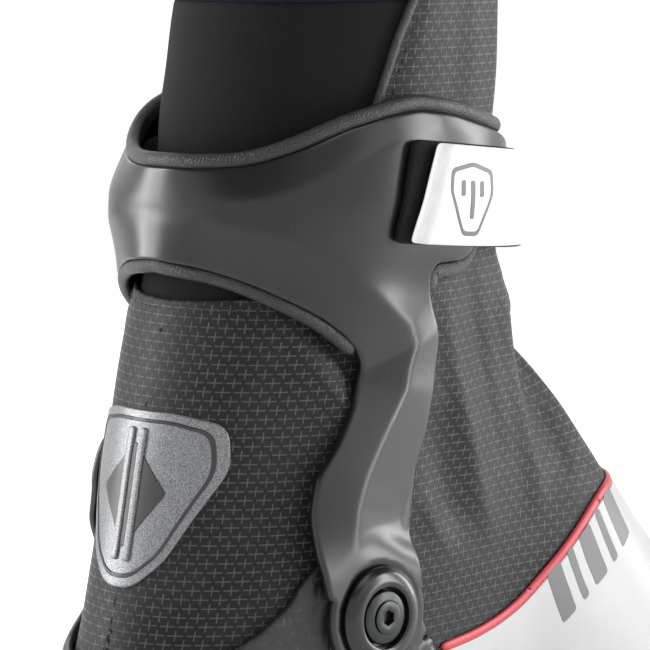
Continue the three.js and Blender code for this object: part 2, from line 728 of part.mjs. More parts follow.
// The strap's side view slopes down towards the front.
const STRAP_SLOPE = -0.1;
const strapZ = (x, z) => z + STRAP_SLOPE * (x + 72);
function strapArea(fromX, tipLean, half, toX) {
  const centre = 200;
  return sidePrism([
    [fromX, strapZ(fromX, centre - half)], [toX, strapZ(toX, centre - half)],
    [toX, strapZ(toX, centre + half)], [fromX + tipLean, strapZ(fromX, centre + half)],
  ]);
}
const STRAP_HALF = 13.2;

function strapBase() {
  const medialPart = block([-90, 0, 150], [-20, 90, 240]);
  return layer(cuffSkin, STRAP_BASE).intersect(strapArea(-76.5, 4, STRAP_HALF, 40))
    .subtract(medialPart);
}

// The ring stands on the medial side: s runs forward along the cuff, n points out of it.
const RING_PLACE = { x: -36, reach: 4.4 };
const ringSlope = (cuffHalfAt(RING_PLACE.x + 4, 194) - cuffHalfAt(RING_PLACE.x - 4, 194)) / 8;
const ringAlong = new THREE.Vector3(1, ringSlope, 0).normalize();
const ringOut = new THREE.Vector3(-ringAlong.y, ringAlong.x, 0);
const ringCentre = new THREE.Vector3(RING_PLACE.x, cuffHalfAt(RING_PLACE.x, 194),
  strapZ(RING_PLACE.x, 200)).addScaledVector(ringOut, RING_PLACE.reach);
const RING_HALF = { along: 8, up: 17, bar: 2.75, thick: 1.3 };

// Turns a solid drawn in (along, out, up) to its place at the ring.
function atRing(geometry) {
  const up = new THREE.Vector3(0, 0, 1);
  geometry.applyMatrix4(new THREE.Matrix4().makeBasis(ringAlong, ringOut, up));
  geometry.translate(ringCentre.x, ringCentre.y, ringCentre.z);
  return geometry;
}

function roundedRectangle(halfX, halfY, corner, ShapeType = THREE.Shape, middleY = 0) {
  const shape = new ShapeType();
  const [reachX, up, down] = [halfX - corner, middleY + halfY - corner, middleY - halfY + corner];
  shape.absarc(reachX, up, corner, 0, Math.PI / 2);
  shape.absarc(-reachX, up, corner, Math.PI / 2, Math.PI);
  shape.absarc(-reachX, down, corner, Math.PI, 1.5 * Math.PI);
  shape.absarc(reachX, down, corner, 1.5 * Math.PI, 2 * Math.PI);
  shape.closePath();
  return shape;
}

function strapRing() {
  const { along, up, bar, thick } = RING_HALF;
  const shape = roundedRectangle(along, up, 2.5);
  shape.holes.push(roundedRectangle(along - bar, up - bar, 1, THREE.Path));
  const options = { depth: 2 * thick, bevelEnabled: false, curveSegments: 2 };
  const geometry = new THREE.ExtrudeGeometry(shape, options);
  geometry.rotateX(Math.PI / 2);
  geometry.translate(0, thick, 0);
  return atRing(geometry);
}

// A band folded round a bar of the ring; its tail runs the way of sign.
const FOLD = { hole: 2.05, wall: 1.1, halfHeight: 12.4 };
const barCentre = RING_HALF.along - RING_HALF.bar / 2;
function foldRoundBar(sign, tailLength) {
  const outer = FOLD.hole + FOLD.wall;
  const shape = roundedRectangle(outer, outer, outer * 0.9);
  shape.holes.push(roundedRectangle(FOLD.hole, FOLD.hole, FOLD.hole * 0.9, THREE.Path));
  const options = { depth: 2 * FOLD.halfHeight, bevelEnabled: false, curveSegments: 3 };
  const fold = new THREE.ExtrudeGeometry(shape, options);
  const tail = new THREE.BoxGeometry(tailLength, FOLD.wall, 2 * FOLD.halfHeight);
  tail.translate(sign * tailLength / 2, FOLD.wall / 2 - outer, 0);
  fold.translate(0, 0, -FOLD.halfHeight);
  tail.translate(sign * FOLD.hole, 0, 0);
  const joined = toSolid(fold).add(toSolid(tail));
  const geometry = toGeometry(joined);
  geometry.translate(sign * barCentre, 0, 0);
  return toSolid(atRing(geometry));
}

function ringTab() {
  return foldRoundBar(-1, 16);
}

function ringRivet() {
  const geometry = new THREE.LatheGeometry([
    new THREE.Vector2(0, 0), new THREE.Vector2(3.6, 0), new THREE.Vector2(3.6, 0.8),
    new THREE.Vector2(2.4, 1.7), new THREE.Vector2(0, 1.9),
  ], 16);
  geometry.translate(-barCentre - FOLD.hole - 11, GAP - FOLD.hole, 0);
  return atRing(geometry);
}

function strapUpper() {
  const behindRing = block([-120, 0, 150], [-24.5, 90, 240]);
  const band = layer(cuffSkin, STRAP_UPPER).intersect(strapArea(-70, 5, STRAP_HALF - 0.8, 40))
    .subtract(behindRing);
  return band.add(foldRoundBar(1, 6));
}

function strapTab() {
  const pastFront = block([-120, 6, 150], [60, 90, 240]);
  return layer(cuffSkin, STRAP_TAB).intersect(strapArea(-74.8, 8.2, STRAP_HALF - 0.4, 40))
    .subtract(pastFront);
}

// ---------------------------------------------------------------- zip slider

const SLIDER = { z: 250, y: 18, halfWidth: 4, halfHeight: 5, thickness: 1.7, lift: 0.6 };
function frontX(z, y) {
  let [low, high] = [legMiddle(z), legFront(z)];
  for (let i = 0; i < 40; i += 1) {
    const middle = (low + high) / 2;
    if (upperHalf(middle, z, "medial") > y) low = middle;
    else high = middle;
  }
  return low;
}
const zipTop = new THREE.Vector3(frontX(256, SLIDER.y), SLIDER.y, 256);
const zipBottom = new THREE.Vector3(frontX(220, SLIDER.y), SLIDER.y, 220);
const zipUp = zipTop.clone().sub(zipBottom).normalize();
const zipAcross = new THREE.Vector3(frontX(238, 15) - frontX(238, 21), -6, 0).normalize();
const zipOut = new THREE.Vector3().crossVectors(zipAcross, zipUp).negate();
const sliderCentre = zipBottom.clone()
  .addScaledVector(zipUp, (SLIDER.z - zipBottom.z) / zipUp.z)
  .addScaledVector(zipOut, ZIP.outer + SLIDER.lift);

// Turns a solid drawn in (across, up, out) to its place on the zip.
function onZip(geometry) {
  const across = new THREE.Vector3().crossVectors(zipUp, zipOut);
  geometry.applyMatrix4(new THREE.Matrix4().makeBasis(across, zipUp, zipOut));
  geometry.translate(sliderCentre.x, sliderCentre.y, sliderCentre.z);
  return geometry;
}

// The slider's lug is an arch whose tunnel holds the top bar of the puller.
const LUG = { halfWidth: 1.1, top: 4.3, from: -0.8, to: 2.8, axisY: 1, axisOut: 3, tunnel: 0.95 };
function zipSlider() {
  const { halfWidth, halfHeight, thickness } = SLIDER;
  const plate = new THREE.ExtrudeGeometry(roundedRectangle(halfWidth, halfHeight, 1.6),
    { depth: thickness, bevelEnabled: false, curveSegments: 2 });
  const lug = block([-LUG.halfWidth, LUG.from, thickness - 0.5], [LUG.halfWidth, LUG.to, LUG.top]);
  const tunnel = new THREE.CylinderGeometry(LUG.tunnel, LUG.tunnel, 4, 10);
  tunnel.rotateZ(Math.PI / 2);
  tunnel.translate(0, LUG.axisY, LUG.axisOut);
  return toGeometry(toSolid(plate).add(lug).subtract(toSolid(tunnel)));
}

const PULLER = { length: 18, halfWidth: 3.2, thickness: 1.1, slotHalfWidth: 1.6, slotLength: 4.6 };
function zipPuller() {
  const { length, thickness, slotLength } = PULLER;
  const top = LUG.axisY + thickness / 2;
  const shape = roundedRectangle(PULLER.halfWidth, length / 2, 1, THREE.Shape, top - length / 2);
  const slotCentre = top - thickness - slotLength / 2;
  shape.holes.push(
    roundedRectangle(PULLER.slotHalfWidth, slotLength / 2, 0.4, THREE.Path, slotCentre));
  const options = { depth: thickness, bevelEnabled: false, curveSegments: 2 };
  const geometry = new THREE.ExtrudeGeometry(shape, options);
  geometry.translate(0, 0, LUG.axisOut - thickness / 2);
  return geometry;
}

// ---------------------------------------------------------------- assembly

const boot = new THREE.Group();
const cuff = new THREE.Group();
boot.add(cuff);

const FINISH = {
  rubber: { color: 0x1c1c1d, roughness: 0.75, metalness: 0 },
  carbon: { color: 0x2a2b2d, roughness: 0.4, metalness: 0.1 },
  steel: { color: 0x8d8f92, roughness: 0.3, metalness: 0.9 },
  shell: { color: 0x303133, roughness: 0.38, metalness: 0 },
  softshell: { color: 0x35373a, roughness: 0.7, metalness: 0 },
  white: { color: 0xd8d9d8, roughness: 0.5, metalness: 0 },
  red: { color: 0xc23a40, roughness: 0.5, metalness: 0 },
  silver: { color: 0xa5a7a9, roughness: 0.4, metalness: 0.5 },
  neoprene: { color: 0x1e201f, roughness: 0.85, metalness: 0 },
  foam: { color: 0x27282a, roughness: 0.9, metalness: 0 },
  binding: { color: 0x1b1c1d, roughness: 0.6, metalness: 0 },
  cord: { color: 0x9b9ea1, roughness: 0.8, metalness: 0 },
};

function addPart(group, name, shape, finish) {
  const geometry = shape.isBufferGeometry ? shape : toGeometry(shape);
  const mesh = new THREE.Mesh(geometry, new THREE.MeshStandardMaterial(FINISH[finish]));
  mesh.name = name;
  group.add(mesh);
}

addPart(boot, "heel_tread", tread(-138, -70), "rubber");
addPart(boot, "forefoot_tread", tread(-8, 114), "rubber");
addPart(boot, "sole_plate", solePlate(), "carbon");
addPart(boot, "binding_block", bindingBlock(), "rubber");
addPart(boot, "toe_bar", toeBar(), "steel");
addPart(boot, "midsole_board", midsoleBoard(), "foam");
addPart(boot, "insole", insole(), "foam");
addPart(boot, "heel_chassis", heelChassis(), "carbon");
addPart(boot, "boot_cover", bootCover(), "softshell");
addPart(boot, "ankle_panel", anklePanel(), "softshell");
addPart(boot, "inner_boot", innerBoot(), "foam");
addPart(boot, "heel_counter", heelCounter(), "foam");
addPart(boot, "toe_puff", toePuff(), "foam");
addPart(boot, "tongue", tongue(), "foam");
addPart(boot, "lace_lower", lace(-1, -5.5), "cord");
addPart(boot, "lace_upper", lace(1, -3.2), "cord");
addPart(boot, "lace_lock", laceLock(), "shell");
addPart(boot, "toe_overlay", toeOverlay(), "white");
addPart(boot, "overlay_piping", overlayPiping(), "red");
addPart(boot, "heel_patch", heelPatch(), "silver");
addPart(boot, "zip_lower", zipLower(), "binding");

addPart(cuff, "cuff_shell", cuffShell(), "shell");
addPart(cuff, "cuff_top_rim", cuffRim(CUFF_TOP, -27, 1.9, 1.6, 28), "binding");
addPart(cuff, "cuff_lower_rim", cuffRim(CUFF_WINDOW, -90, -1.9, 1.5, 22), "binding");
addPart(cuff, "cuff_padding", cuffPadding(), "foam");
addPart(cuff, "collar", collar(), "neoprene");
addPart(cuff, "collar_hem", collarHem(), "binding");
addPart(cuff, "cover_upper", coverUpper(), "softshell");
addPart(cuff, "zip_upper", zipUpper(), "binding");
addPart(cuff, "strap_base", strapBase(), "binding");
addPart(cuff, "strap_upper", strapUpper(), "foam");
addPart(cuff, "strap_tab", strapTab(), "white");
addPart(cuff, "strap_ring", strapRing(), "steel");
addPart(cuff, "ring_tab", ringTab(), "binding");
addPart(cuff, "ring_rivet", ringRivet(), "steel");
addPart(cuff, "zip_slider", onZip(zipSlider()), "steel");
addPart(cuff, "zip_puller", onZip(zipPuller()), "binding");

for (const [name, side] of Object.entries(SIDES)) {
  addPart(boot, `eyestay_${name}`, eyestay(side), "foam");
  addPart(boot, `pivot_bush_${name}`, pivotTurning(BUSH, side), "steel");
  addPart(boot, `pivot_screw_${name}`, pivotTurning(SCREW, side), "steel");
  addPart(cuff, `pivot_washer_${name}`, pivotTurning(WASHER, side), "white");
  addPart(cuff, `pivot_ring_${name}`, pivotTurning(RING, side, 20), "shell");
  addPart(cuff, `gaiter_piping_${name}`, gaiterPiping(side), "binding");
}

export default boot;
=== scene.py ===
import json
import math

import bmesh
import bpy
import numpy as np
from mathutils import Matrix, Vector, kdtree
from mathutils.geometry import delaunay_2d_cdt


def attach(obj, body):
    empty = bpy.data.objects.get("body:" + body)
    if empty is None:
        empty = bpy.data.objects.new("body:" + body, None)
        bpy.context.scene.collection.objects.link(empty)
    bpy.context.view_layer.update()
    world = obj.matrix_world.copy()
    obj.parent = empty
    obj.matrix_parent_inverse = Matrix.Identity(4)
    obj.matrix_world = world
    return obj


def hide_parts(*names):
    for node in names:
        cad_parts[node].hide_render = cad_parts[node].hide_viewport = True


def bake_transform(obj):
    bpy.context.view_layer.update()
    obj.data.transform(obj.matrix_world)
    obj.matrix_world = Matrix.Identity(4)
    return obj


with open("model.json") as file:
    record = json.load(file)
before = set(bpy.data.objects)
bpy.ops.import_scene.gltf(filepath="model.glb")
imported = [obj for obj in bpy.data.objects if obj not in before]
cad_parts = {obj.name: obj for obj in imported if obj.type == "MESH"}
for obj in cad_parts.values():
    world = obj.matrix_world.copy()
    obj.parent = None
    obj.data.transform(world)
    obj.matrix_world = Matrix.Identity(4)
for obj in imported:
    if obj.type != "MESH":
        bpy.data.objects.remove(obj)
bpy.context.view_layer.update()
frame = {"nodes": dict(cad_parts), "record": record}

# The shapes below are worked out in millimetres and made in metres.
MM = 0.001
PIVOT_X, PIVOT_Z = -83.0, 87.5
UPPER_BOTTOM = 13.0
TOE_SPRING_START, TOE_X, TOE_SPRING = 55.0, 147.0, 9.0
SHELL_THICKNESS = 2.4
SHARP = math.radians(35)  # edges over this angle are kept sharp or bevelled
FAN_X, FAN_Z = 46.0, 164.0
FAN_MM_PER_DEGREE = 1.75
CHART_TOP = 276.0
# Chart heights where the fan of slices over the ankle starts and ends, and where the sole cuts it.
FAN_START_Q = CHART_TOP - FAN_Z
FAN_END_Q = FAN_START_Q + 90 * FAN_MM_PER_DEGREE
HEEL_Q = FAN_START_Q + 38 * FAN_MM_PER_DEGREE
HEEL_CUP_Q = FAN_START_Q + 39 * FAN_MM_PER_DEGREE
SIDES = ((-1, "lateral"), (1, "medial"))


# ---------------------------------------------------------------- curves and charts
def curve(points):
    """Smooth curve through points of rising t that never overshoots them."""
    t = np.array([p[0] for p in points], float)
    v = np.array([p[1] for p in points], float)
    step = np.diff(t)
    rise = np.diff(v) / step
    slope = np.zeros(len(v))
    slope[0], slope[-1] = rise[0], rise[-1]
    for i in range(1, len(v) - 1):
        if rise[i - 1] * rise[i] > 0:
            before, after = 2 * step[i] + step[i - 1], step[i] + 2 * step[i - 1]
            slope[i] = (before + after) / (before / rise[i - 1] + after / rise[i])

    def at(x):
        x = np.clip(x, t[0], t[-1])
        i = np.clip(np.searchsorted(t, x, side="right") - 1, 0, len(t) - 2)
        s = (x - t[i]) / step[i]
        s2, s3 = s * s, s * s * s
        return ((2 * s3 - 3 * s2 + 1) * v[i] + (s3 - 2 * s2 + s) * step[i] * slope[i]
                + (3 * s2 - 2 * s3) * v[i + 1] + (s3 - s2) * step[i] * slope[i + 1])

    return at


leg_back = curve([(0, -139), (18, -144), (35, -147), (55, -145.5), (85, -136.5), (118, -129),
                  (143, -123.8), (170, -116), (195, -111), (220, -108), (245, -103.5), (270, -98)])
leg_front = curve([(0, -33), (60, -13), (100, -1), (135, 4), (160, 4), (180, -5), (200, -9),
                   (235, -8.5), (270, -3)])
leg_half = curve([(0, 31), (18, 33), (40, 35.5), (60, 37), (85, 38.5), (118, 39.5), (150, 40.5),
                  (180, 41), (220, 41.5), (270, 40.5)])
leg_middle = curve([(0, -98), (60, -88), (100, -79), (150, -71), (200, -60), (270, -53)])
INSTEP = [(-153, 230), (-93, 205), (-43, 180), (-3, 159), (7, 151), (20, 140), (28, 130), (35, 120),
          (42, 110), (50, 100), (67, 82), (92, 66), (117, 54), (135, 44), (144, 33), (147, 20)]
instep_z = curve(INSTEP)
instep_x = curve([(z, x) for x, z in reversed(INSTEP)])
plan_lateral = curve([(-128, 0), (-118, 12), (-98, 28), (-63, 35), (-23, 38), (17, 45), (47, 49),
                      (77, 47), (107, 40), (127, 30), (139, 17.5), (145.5, 6), (147, 0)])
plan_medial = curve([(-128, 0), (-118, 12), (-98, 28), (-63, 33), (-23, 33), (17, 40), (47, 46),
                     (77, 46), (107, 43), (127, 36), (139, 24), (145.5, 9), (147, 0)])
cuff_back = curve([(60, -134), (150, -132), (170, -124.5), (181, -122), (200, -120),
                   (215, -116.5), (226, -113)])
cuff_front = curve([(60, 0), (170, 0), (195, -6), (226, -8)])
cuff_half = curve([(60, 47.5), (87, 47.5), (110, 47), (135, 46), (150, 45.5), (165, 45.5),
                   (180, 46), (200, 48), (226, 48)])
cuff_middle = curve([(60, -82), (120, -80), (180, -66), (226, -65)])
cuff_roundness = curve([(60, 5), (120, 4), (150, 2.8), (180, 2.3), (226, 2.2)])


def toe_spring(x):
    """How far the toe is lifted off the ground at x."""
    along = np.maximum(0, (x - TOE_SPRING_START) / (TOE_X - TOE_SPRING_START))
    return TOE_SPRING * along * along


def oval_half(x, back, middle, front, half, power):
    """Half width at x of an oval from back to front that is widest at middle."""
    reach = np.where(x < middle, (middle - x) / (middle - back), (x - middle) / (front - middle))
    return half * (1 - np.clip(reach, 0, 1) ** power) ** (1 / power)


def upper_half(x, z, side):
    """Half width of the upper, a smooth union of the leg and the foot."""
    leg = oval_half(x, leg_back(z), leg_middle(z), leg_front(z), leg_half(z), 2.1)
    fill = np.sqrt(np.maximum(0, 1 - (np.maximum(z, 0) / instep_z(x)) ** 2.4))
    foot = (plan_lateral(x) if side < 0 else plan_medial(x)) * fill
    foot = foot * np.sqrt(np.clip((x - leg_back(z)) / 12, 0, 1))
    return (leg ** 5 + foot ** 5) ** 0.2


def cuff_half_at(x, z, _side):
    """Half width of the cuff, which is the same on both sides."""
    return oval_half(x, cuff_back(z), cuff_middle(z), cuff_front(z), cuff_half(z),
                     cuff_roundness(z))


class Chart:
    """A surface round the leg or foot, charted by u, the distance round it from its front or its
    back (lateral side negative), and q, which counts its slices."""

    STEPS, SHARE_STEPS = 120, 160
    PHI = np.linspace(0, math.pi, STEPS + 1)

    def __init__(self, q, starts, ends, half, origin, spring):
        self.q, self.starts, self.ends = q, starts, ends
        self.half, self.origin, self.spring = half, origin, spring
        s = (1 - np.cos(self.PHI)) / 2
        x = starts[:, :1] + (ends - starts)[:, :1] * s
        z = starts[:, 1:] + (ends - starts)[:, 1:] * s
        self.length, self.inverse = {}, {}
        share = np.linspace(0, 1, self.SHARE_STEPS + 1)
        for side in (-1, 1):
            y = half(x, z, side)
            step = np.sqrt(np.diff(x) ** 2 + np.diff(y) ** 2 + np.diff(z) ** 2)
            length = np.concatenate([np.zeros((len(q), 1)), np.cumsum(step, 1)], 1)
            self.length[side] = length
            self.inverse[side] = np.array(
                [np.interp(share * row[-1], row, self.PHI) for row in length])
        self.flip = 1.0
        middle = len(q) // 3
        u, v = np.zeros(1), q[middle:middle + 1]
        outward = starts[middle] - ends[middle]
        if origin == "back":
            outward = -outward
        n = self.normal(u, v)[0]
        if n[0] * outward[0] + n[2] * outward[1] < 0:
            self.flip = -1.0

    def sample(self, table, q, column):
        """Value of a table at q and at a fractional column."""
        row = np.interp(q, self.q, np.arange(len(self.q)))
        i = np.clip(row.astype(int), 0, len(self.q) - 2)
        j = np.clip(column.astype(int), 0, table.shape[1] - 2)
        r, c = row - i, column - j
        return ((1 - r) * ((1 - c) * table[i, j] + c * table[i, j + 1])
                + r * ((1 - c) * table[i + 1, j] + c * table[i + 1, j + 1]))

    def girth(self, q, side):
        """Length of one side's half of a slice."""
        return np.interp(q, self.q, self.length[side][:, -1])

    def side_view(self, u, q):
        """(x, z, side) of chart points, where z leaves out the toe spring."""
        side = np.where(u < 0, -1, 1)
        girth = np.where(side < 0, self.girth(q, -1), self.girth(q, 1))
        over = np.abs(u) > girth
        side = np.where(over, -side, side)
        away = np.where(over, 2 * girth - np.abs(u), np.abs(u))
        if self.origin == "back":
            away = girth - away
        share = np.clip(away / girth, 0, 1) * self.SHARE_STEPS
        phi = np.where(side < 0, self.sample(self.inverse[-1], q, share),
                       self.sample(self.inverse[1], q, share))
        s = (1 - np.cos(phi)) / 2
        ends = [np.interp(q, self.q, column) for column in
                (self.starts[:, 0], self.starts[:, 1], self.ends[:, 0], self.ends[:, 1])]
        return ends[0] + (ends[2] - ends[0]) * s, ends[1] + (ends[3] - ends[1]) * s, side

    def point(self, u, q):
        """Points of the surface."""
        x, z, side = self.side_view(u, q)
        y = np.where(side < 0, -self.half(x, z, -1), self.half(x, z, 1))
        return np.stack([x, y, z + (toe_spring(x) if self.spring else 0)], -1)

    def normal(self, u, q, reach=0.5):
        """Outward directions at points of the surface."""
        du = self.point(u + reach, q) - self.point(u - reach, q)
        dq = self.point(u, q + reach) - self.point(u, q - reach)
        n = np.cross(dq, du) * self.flip
        return n / np.maximum(np.linalg.norm(n, axis=-1, keepdims=True), 1e-9)

    def slice_of(self, x, z):
        """q of a side view point, and its share of the slice."""
        return z, (x - np.interp(z, self.q, self.starts[:, 0])) / (
            np.interp(z, self.q, self.ends[:, 0]) - np.interp(z, self.q, self.starts[:, 0]))

    def locate(self, points, side):
        """Chart points (u, q) of side view points (x, z)."""
        points = np.array(points, float)
        x, z = points[:, 0], points[:, 1]
        if self.spring:
            z = z - toe_spring(x)
        q, share = self.slice_of(x, z)
        column = np.arccos(1 - 2 * np.clip(share, 0, 1)) / math.pi * self.STEPS
        away = self.sample(self.length[side], q, column)
        if self.origin == "back":
            away = self.girth(q, side) - away
        return np.stack([side * away, q], 1)


class UpperChart(Chart):
    """Chart of the upper: level slices on the leg, a fan over the ankle, upright on the foot."""

    def slice_of(self, x, z):
        angle = np.degrees(np.arctan2(FAN_Z - z, FAN_X - x))
        q = np.where(z >= FAN_Z, CHART_TOP - z, np.where(
            x >= FAN_X, FAN_END_Q + x - FAN_X, FAN_START_Q + angle * FAN_MM_PER_DEGREE))
        sx, sz, ex, ez = [np.interp(q, self.q, column) for column in
                          (self.starts[:, 0], self.starts[:, 1], self.ends[:, 0], self.ends[:, 1])]
        length = (ex - sx) ** 2 + (ez - sz) ** 2
        return q, ((x - sx) * (ex - sx) + (z - sz) * (ez - sz)) / length


def fan_ends(degrees):
    """Where rays from the fan's centre enter and leave the upper's side view."""
    angle = np.radians(degrees)
    dx, dz = -np.cos(angle), -np.sin(angle)

    def inside(t):
        x, z = FAN_X + dx * t, FAN_Z + dz * t
        in_front = np.maximum(leg_front(z), instep_x(z))
        return (z >= UPPER_BOTTOM) & (x >= leg_back(z)) & (x <= in_front)

    step = 0.5
    within = inside(np.arange(0, 260, step)[:, None] + np.zeros(len(degrees)))
    first = within.argmax(0)
    last = np.array([start + np.nonzero(~column[start:])[0][0]
                     for start, column in zip(first, within.T)])
    found = []
    for out, into in ((first - 1, first), (last, last - 1)):
        a, b = out * step, into * step
        for _ in range(24):
            middle = (a + b) / 2
            keep = inside(middle)
            b, a = np.where(keep, middle, b), np.where(keep, a, middle)
        found.append(np.stack([FAN_X + dx * b, FAN_Z + dz * b], 1))
    return found


def upper_chart(origin):
    """Chart of the upper with u counted from its front or its back."""
    leg = np.arange(CHART_TOP, FAN_Z, -1.0)
    degrees = np.arange(0, 90, 0.6)
    foot = np.append(np.arange(FAN_X, 146.0, 1.0), [146.0, 146.5, 146.8, 146.95])
    enter, leave = fan_ends(degrees)
    leg_starts = np.stack([np.maximum(leg_front(leg), instep_x(leg)), leg], 1)
    starts = np.concatenate([leg_starts, enter, np.stack([foot, instep_z(foot)], 1)])
    ends = np.concatenate([np.stack([leg_back(leg), leg], 1), leave,
                           np.stack([foot, np.full(len(foot), UPPER_BOTTOM)], 1)])
    q = np.concatenate([CHART_TOP - leg, FAN_START_Q + degrees * FAN_MM_PER_DEGREE,
                        FAN_END_Q + foot - FAN_X])
    return UpperChart(q, starts, ends, upper_half, origin, True)


def level_chart(front, back, half, low, high, origin):
    """Chart with level slices between two heights."""
    z = np.arange(low, high, 1.0)
    return Chart(z, np.stack([front(z), z], 1), np.stack([back(z), z], 1), half, origin, False)


UPPER = upper_chart("front")
UPPER_BACK = upper_chart("back")
CUFF = level_chart(cuff_front, cuff_back, cuff_half_at, 60, 235, "back")
CUFF_FRONT = level_chart(cuff_front, cuff_back, cuff_half_at, 60, 235, "front")
LEVEL_LOW, LEVEL_HIGH = 14, CHART_TOP
LEVEL = level_chart(lambda z: np.maximum(leg_front(z), instep_x(z)), leg_back, upper_half,
                    LEVEL_LOW, LEVEL_HIGH, "back")


# ---------------------------------------------------------------- outlines in side view
def arc(radius, from_degrees, to_degrees, steps):
    """Points on an arc round the pivot."""
    angle = np.radians(np.linspace(from_degrees, to_degrees, steps + 1))
    return [(PIVOT_X + radius * math.cos(a), PIVOT_Z + radius * math.sin(a)) for a in angle]


def rounded(points, radius, closed=False, steps=4):
    """A polyline with its corners rounded off."""
    pts = [np.array(p, float) for p in points]
    out = []
    for i, p in enumerate(pts):
        if not closed and i in (0, len(pts) - 1):
            out.append(p)
            continue
        a, b = pts[i - 1], pts[(i + 1) % len(pts)]
        reach = min(radius, np.linalg.norm(a - p) / 2, np.linalg.norm(b - p) / 2)
        one = p + (a - p) / max(np.linalg.norm(a - p), 1e-9) * reach
        two = p + (b - p) / max(np.linalg.norm(b - p), 1e-9) * reach
        for s in np.linspace(0, 1, steps + 1):
            out.append((1 - s) ** 2 * one + 2 * s * (1 - s) * p + s ** 2 * two)
    return np.array(out)


def shift_line(points, distance):
    """A polyline moved sideways."""
    pts = np.array(points, float)
    along = np.gradient(pts, axis=0)
    along /= np.linalg.norm(along, axis=1, keepdims=True)
    return pts + distance * np.stack([-along[:, 1], along[:, 0]], 1)


def resample(points, step):
    """A polyline with points at most a step apart that keeps its corners."""
    pts = np.array(points, float)
    length = np.linalg.norm(np.diff(pts, axis=0), axis=1)
    out = [pts[:1]]
    for a, b, n in zip(pts[:-1], pts[1:], length):
        count = max(1, int(math.ceil(n / step)))
        out.append(a + (b - a) * (np.arange(1, count + 1) / count)[:, None])
    return np.concatenate(out)


CHASSIS_EDGE = [(-150, 72), (-140, 74), (-128, 77.5), (-118, 82), (-112, 86.5), (-105, 93),
                (-103, 97), (-98, 102.5), (-90, 106), (-80, 105.5), (-72, 100), (-66, 91),
                (-62, 82), (-57, 74), (-46, 60), (-30, 43), (-8, 29), (16, 21), (30, 13.4)]
OVERLAY_EDGE = [(-52, 72.5), (-38, 73.5), (-25, 76.3), (-16, 80), (-9, 84.6), (-1, 90), (8, 96.6),
                (16, 102.6), (22, 106), (31, 108.3), (48, 109)]
GAITER_EDGE = [(-80.5, 200), (-76.2, 222), (-69, 240), (-63.7, 250), (-60.4, 262)]
CUFF_TOP = [(-20, 210.5), (-28, 213.2), (-39.2, 216), (-53.3, 219.6), (-67, 221.5),
            (-75.6, 220.5), (-90, 217), (-101.6, 212), (-110.8, 208.5), (-118, 206.7)]
CUFF_WINDOW = [(-121.8, 181.9), (-119.4, 180.3), (-113, 177), (-103.2, 171.6), (-95.9, 167.4),
               (-89, 162)]
ARM_REAR = [(-85.5, 158), (-83.7, 153.4), (-87.5, 143.5), (-94.3, 133.2), (-101, 126),
            (-103.4, 118), (-103.2, 105.2), (-100.6, 94)]
ARM_FRONT = [(-66.4, 92), (-67.2, 101), (-66.6, 110), (-63.9, 124.7), (-59.6, 135), (-57, 148.3),
             (-55.8, 158), (-57, 163.5), (-60.5, 171), (-61.5, 177), (-59.5, 180), (-49, 180),
             (-45.5, 182)]
CREASE_LOWER = [(-118.5, 194.7), (-102.5, 187.2), (-83.8, 174.6), (-69.1, 164.2), (-66.8, 158.6),
                (-70.6, 146.9), (-79.7, 134.4), (-86.3, 124.4), (-89.6, 116.8), (-91.5, 104),
                (-90, 90), (-88, 70)]
CREASE_UPPER = [(-119, 197), (-109.9, 198.2), (-102.5, 201.6), (-90.4, 207.8), (-75.7, 213.9),
                (-60, 216.5), (-40, 213), (-20, 208)]


# ---------------------------------------------------------------- mesh building
# Rows of points inside a panel's edge, as shares of its rounding.
EDGE_ROWS = (0.14, 0.5, 1.0, 1.9)


def unit_rows(vectors):
    return vectors / np.linalg.norm(vectors, axis=1, keepdims=True)


def length_along(points):
    """Distance of each point of a line from its first, along the line."""
    return np.concatenate([[0], np.cumsum(np.linalg.norm(np.diff(points, axis=0), axis=1))])


def tube_faces(rings, count, first=0):
    """Quads between rings of count points that follow each other."""
    return [(a + j, a + k, a + count + k, a + count + j)
            for a in range(first, first + (rings - 1) * count, count)
            for j, k in ((j, (j + 1) % count) for j in range(count))]


def positions(obj):
    """Places of an object's vertices in metres."""
    return np.array([v.co for v in obj.data.vertices])


def set_positions(obj, places):
    obj.data.vertices.foreach_set("co", places.astype(np.float32).ravel())


def make_object(name, verts, faces, weave=None, merge=1e-6):
    """A smooth mesh object from millimetres, with the coordinates that its fabric follows."""
    mesh = bpy.data.meshes.new(name)
    mesh.from_pydata((np.asarray(verts, float) * MM).tolist(), [],
                     [list(map(int, f)) for f in faces])
    if weave is not None:
        attribute = mesh.attributes.new("weave", "FLOAT_VECTOR", "POINT")
        attribute.data.foreach_set("vector", np.asarray(weave, np.float32).ravel())
    bm = bmesh.new()
    bm.from_mesh(mesh)
    bmesh.ops.remove_doubles(bm, verts=bm.verts, dist=merge)
    bmesh.ops.dissolve_degenerate(bm, dist=1e-7, edges=bm.edges)
    bm.to_mesh(mesh)
    bm.free()
    mesh.polygons.foreach_set("use_smooth", [True] * len(mesh.polygons))
    obj = bpy.data.objects.new(name, mesh)
    bpy.context.scene.collection.objects.link(obj)
    return obj


def inside_loops(points, loops):
    """Even-odd test of 2D points against closed loops."""
    inside = np.zeros(len(points), bool)
    for loop in loops:
        a, b = loop, np.roll(loop, -1, 0)
        for (ax, ay), (bx, by) in zip(a, b):
            if ay == by:
                continue
            cross = (points[:, 1] >= min(ay, by)) & (points[:, 1] < max(ay, by))
            at = ax + (points[:, 1] - ay) * (bx - ax) / (by - ay)
            inside ^= cross & (points[:, 0] < at)
    return inside


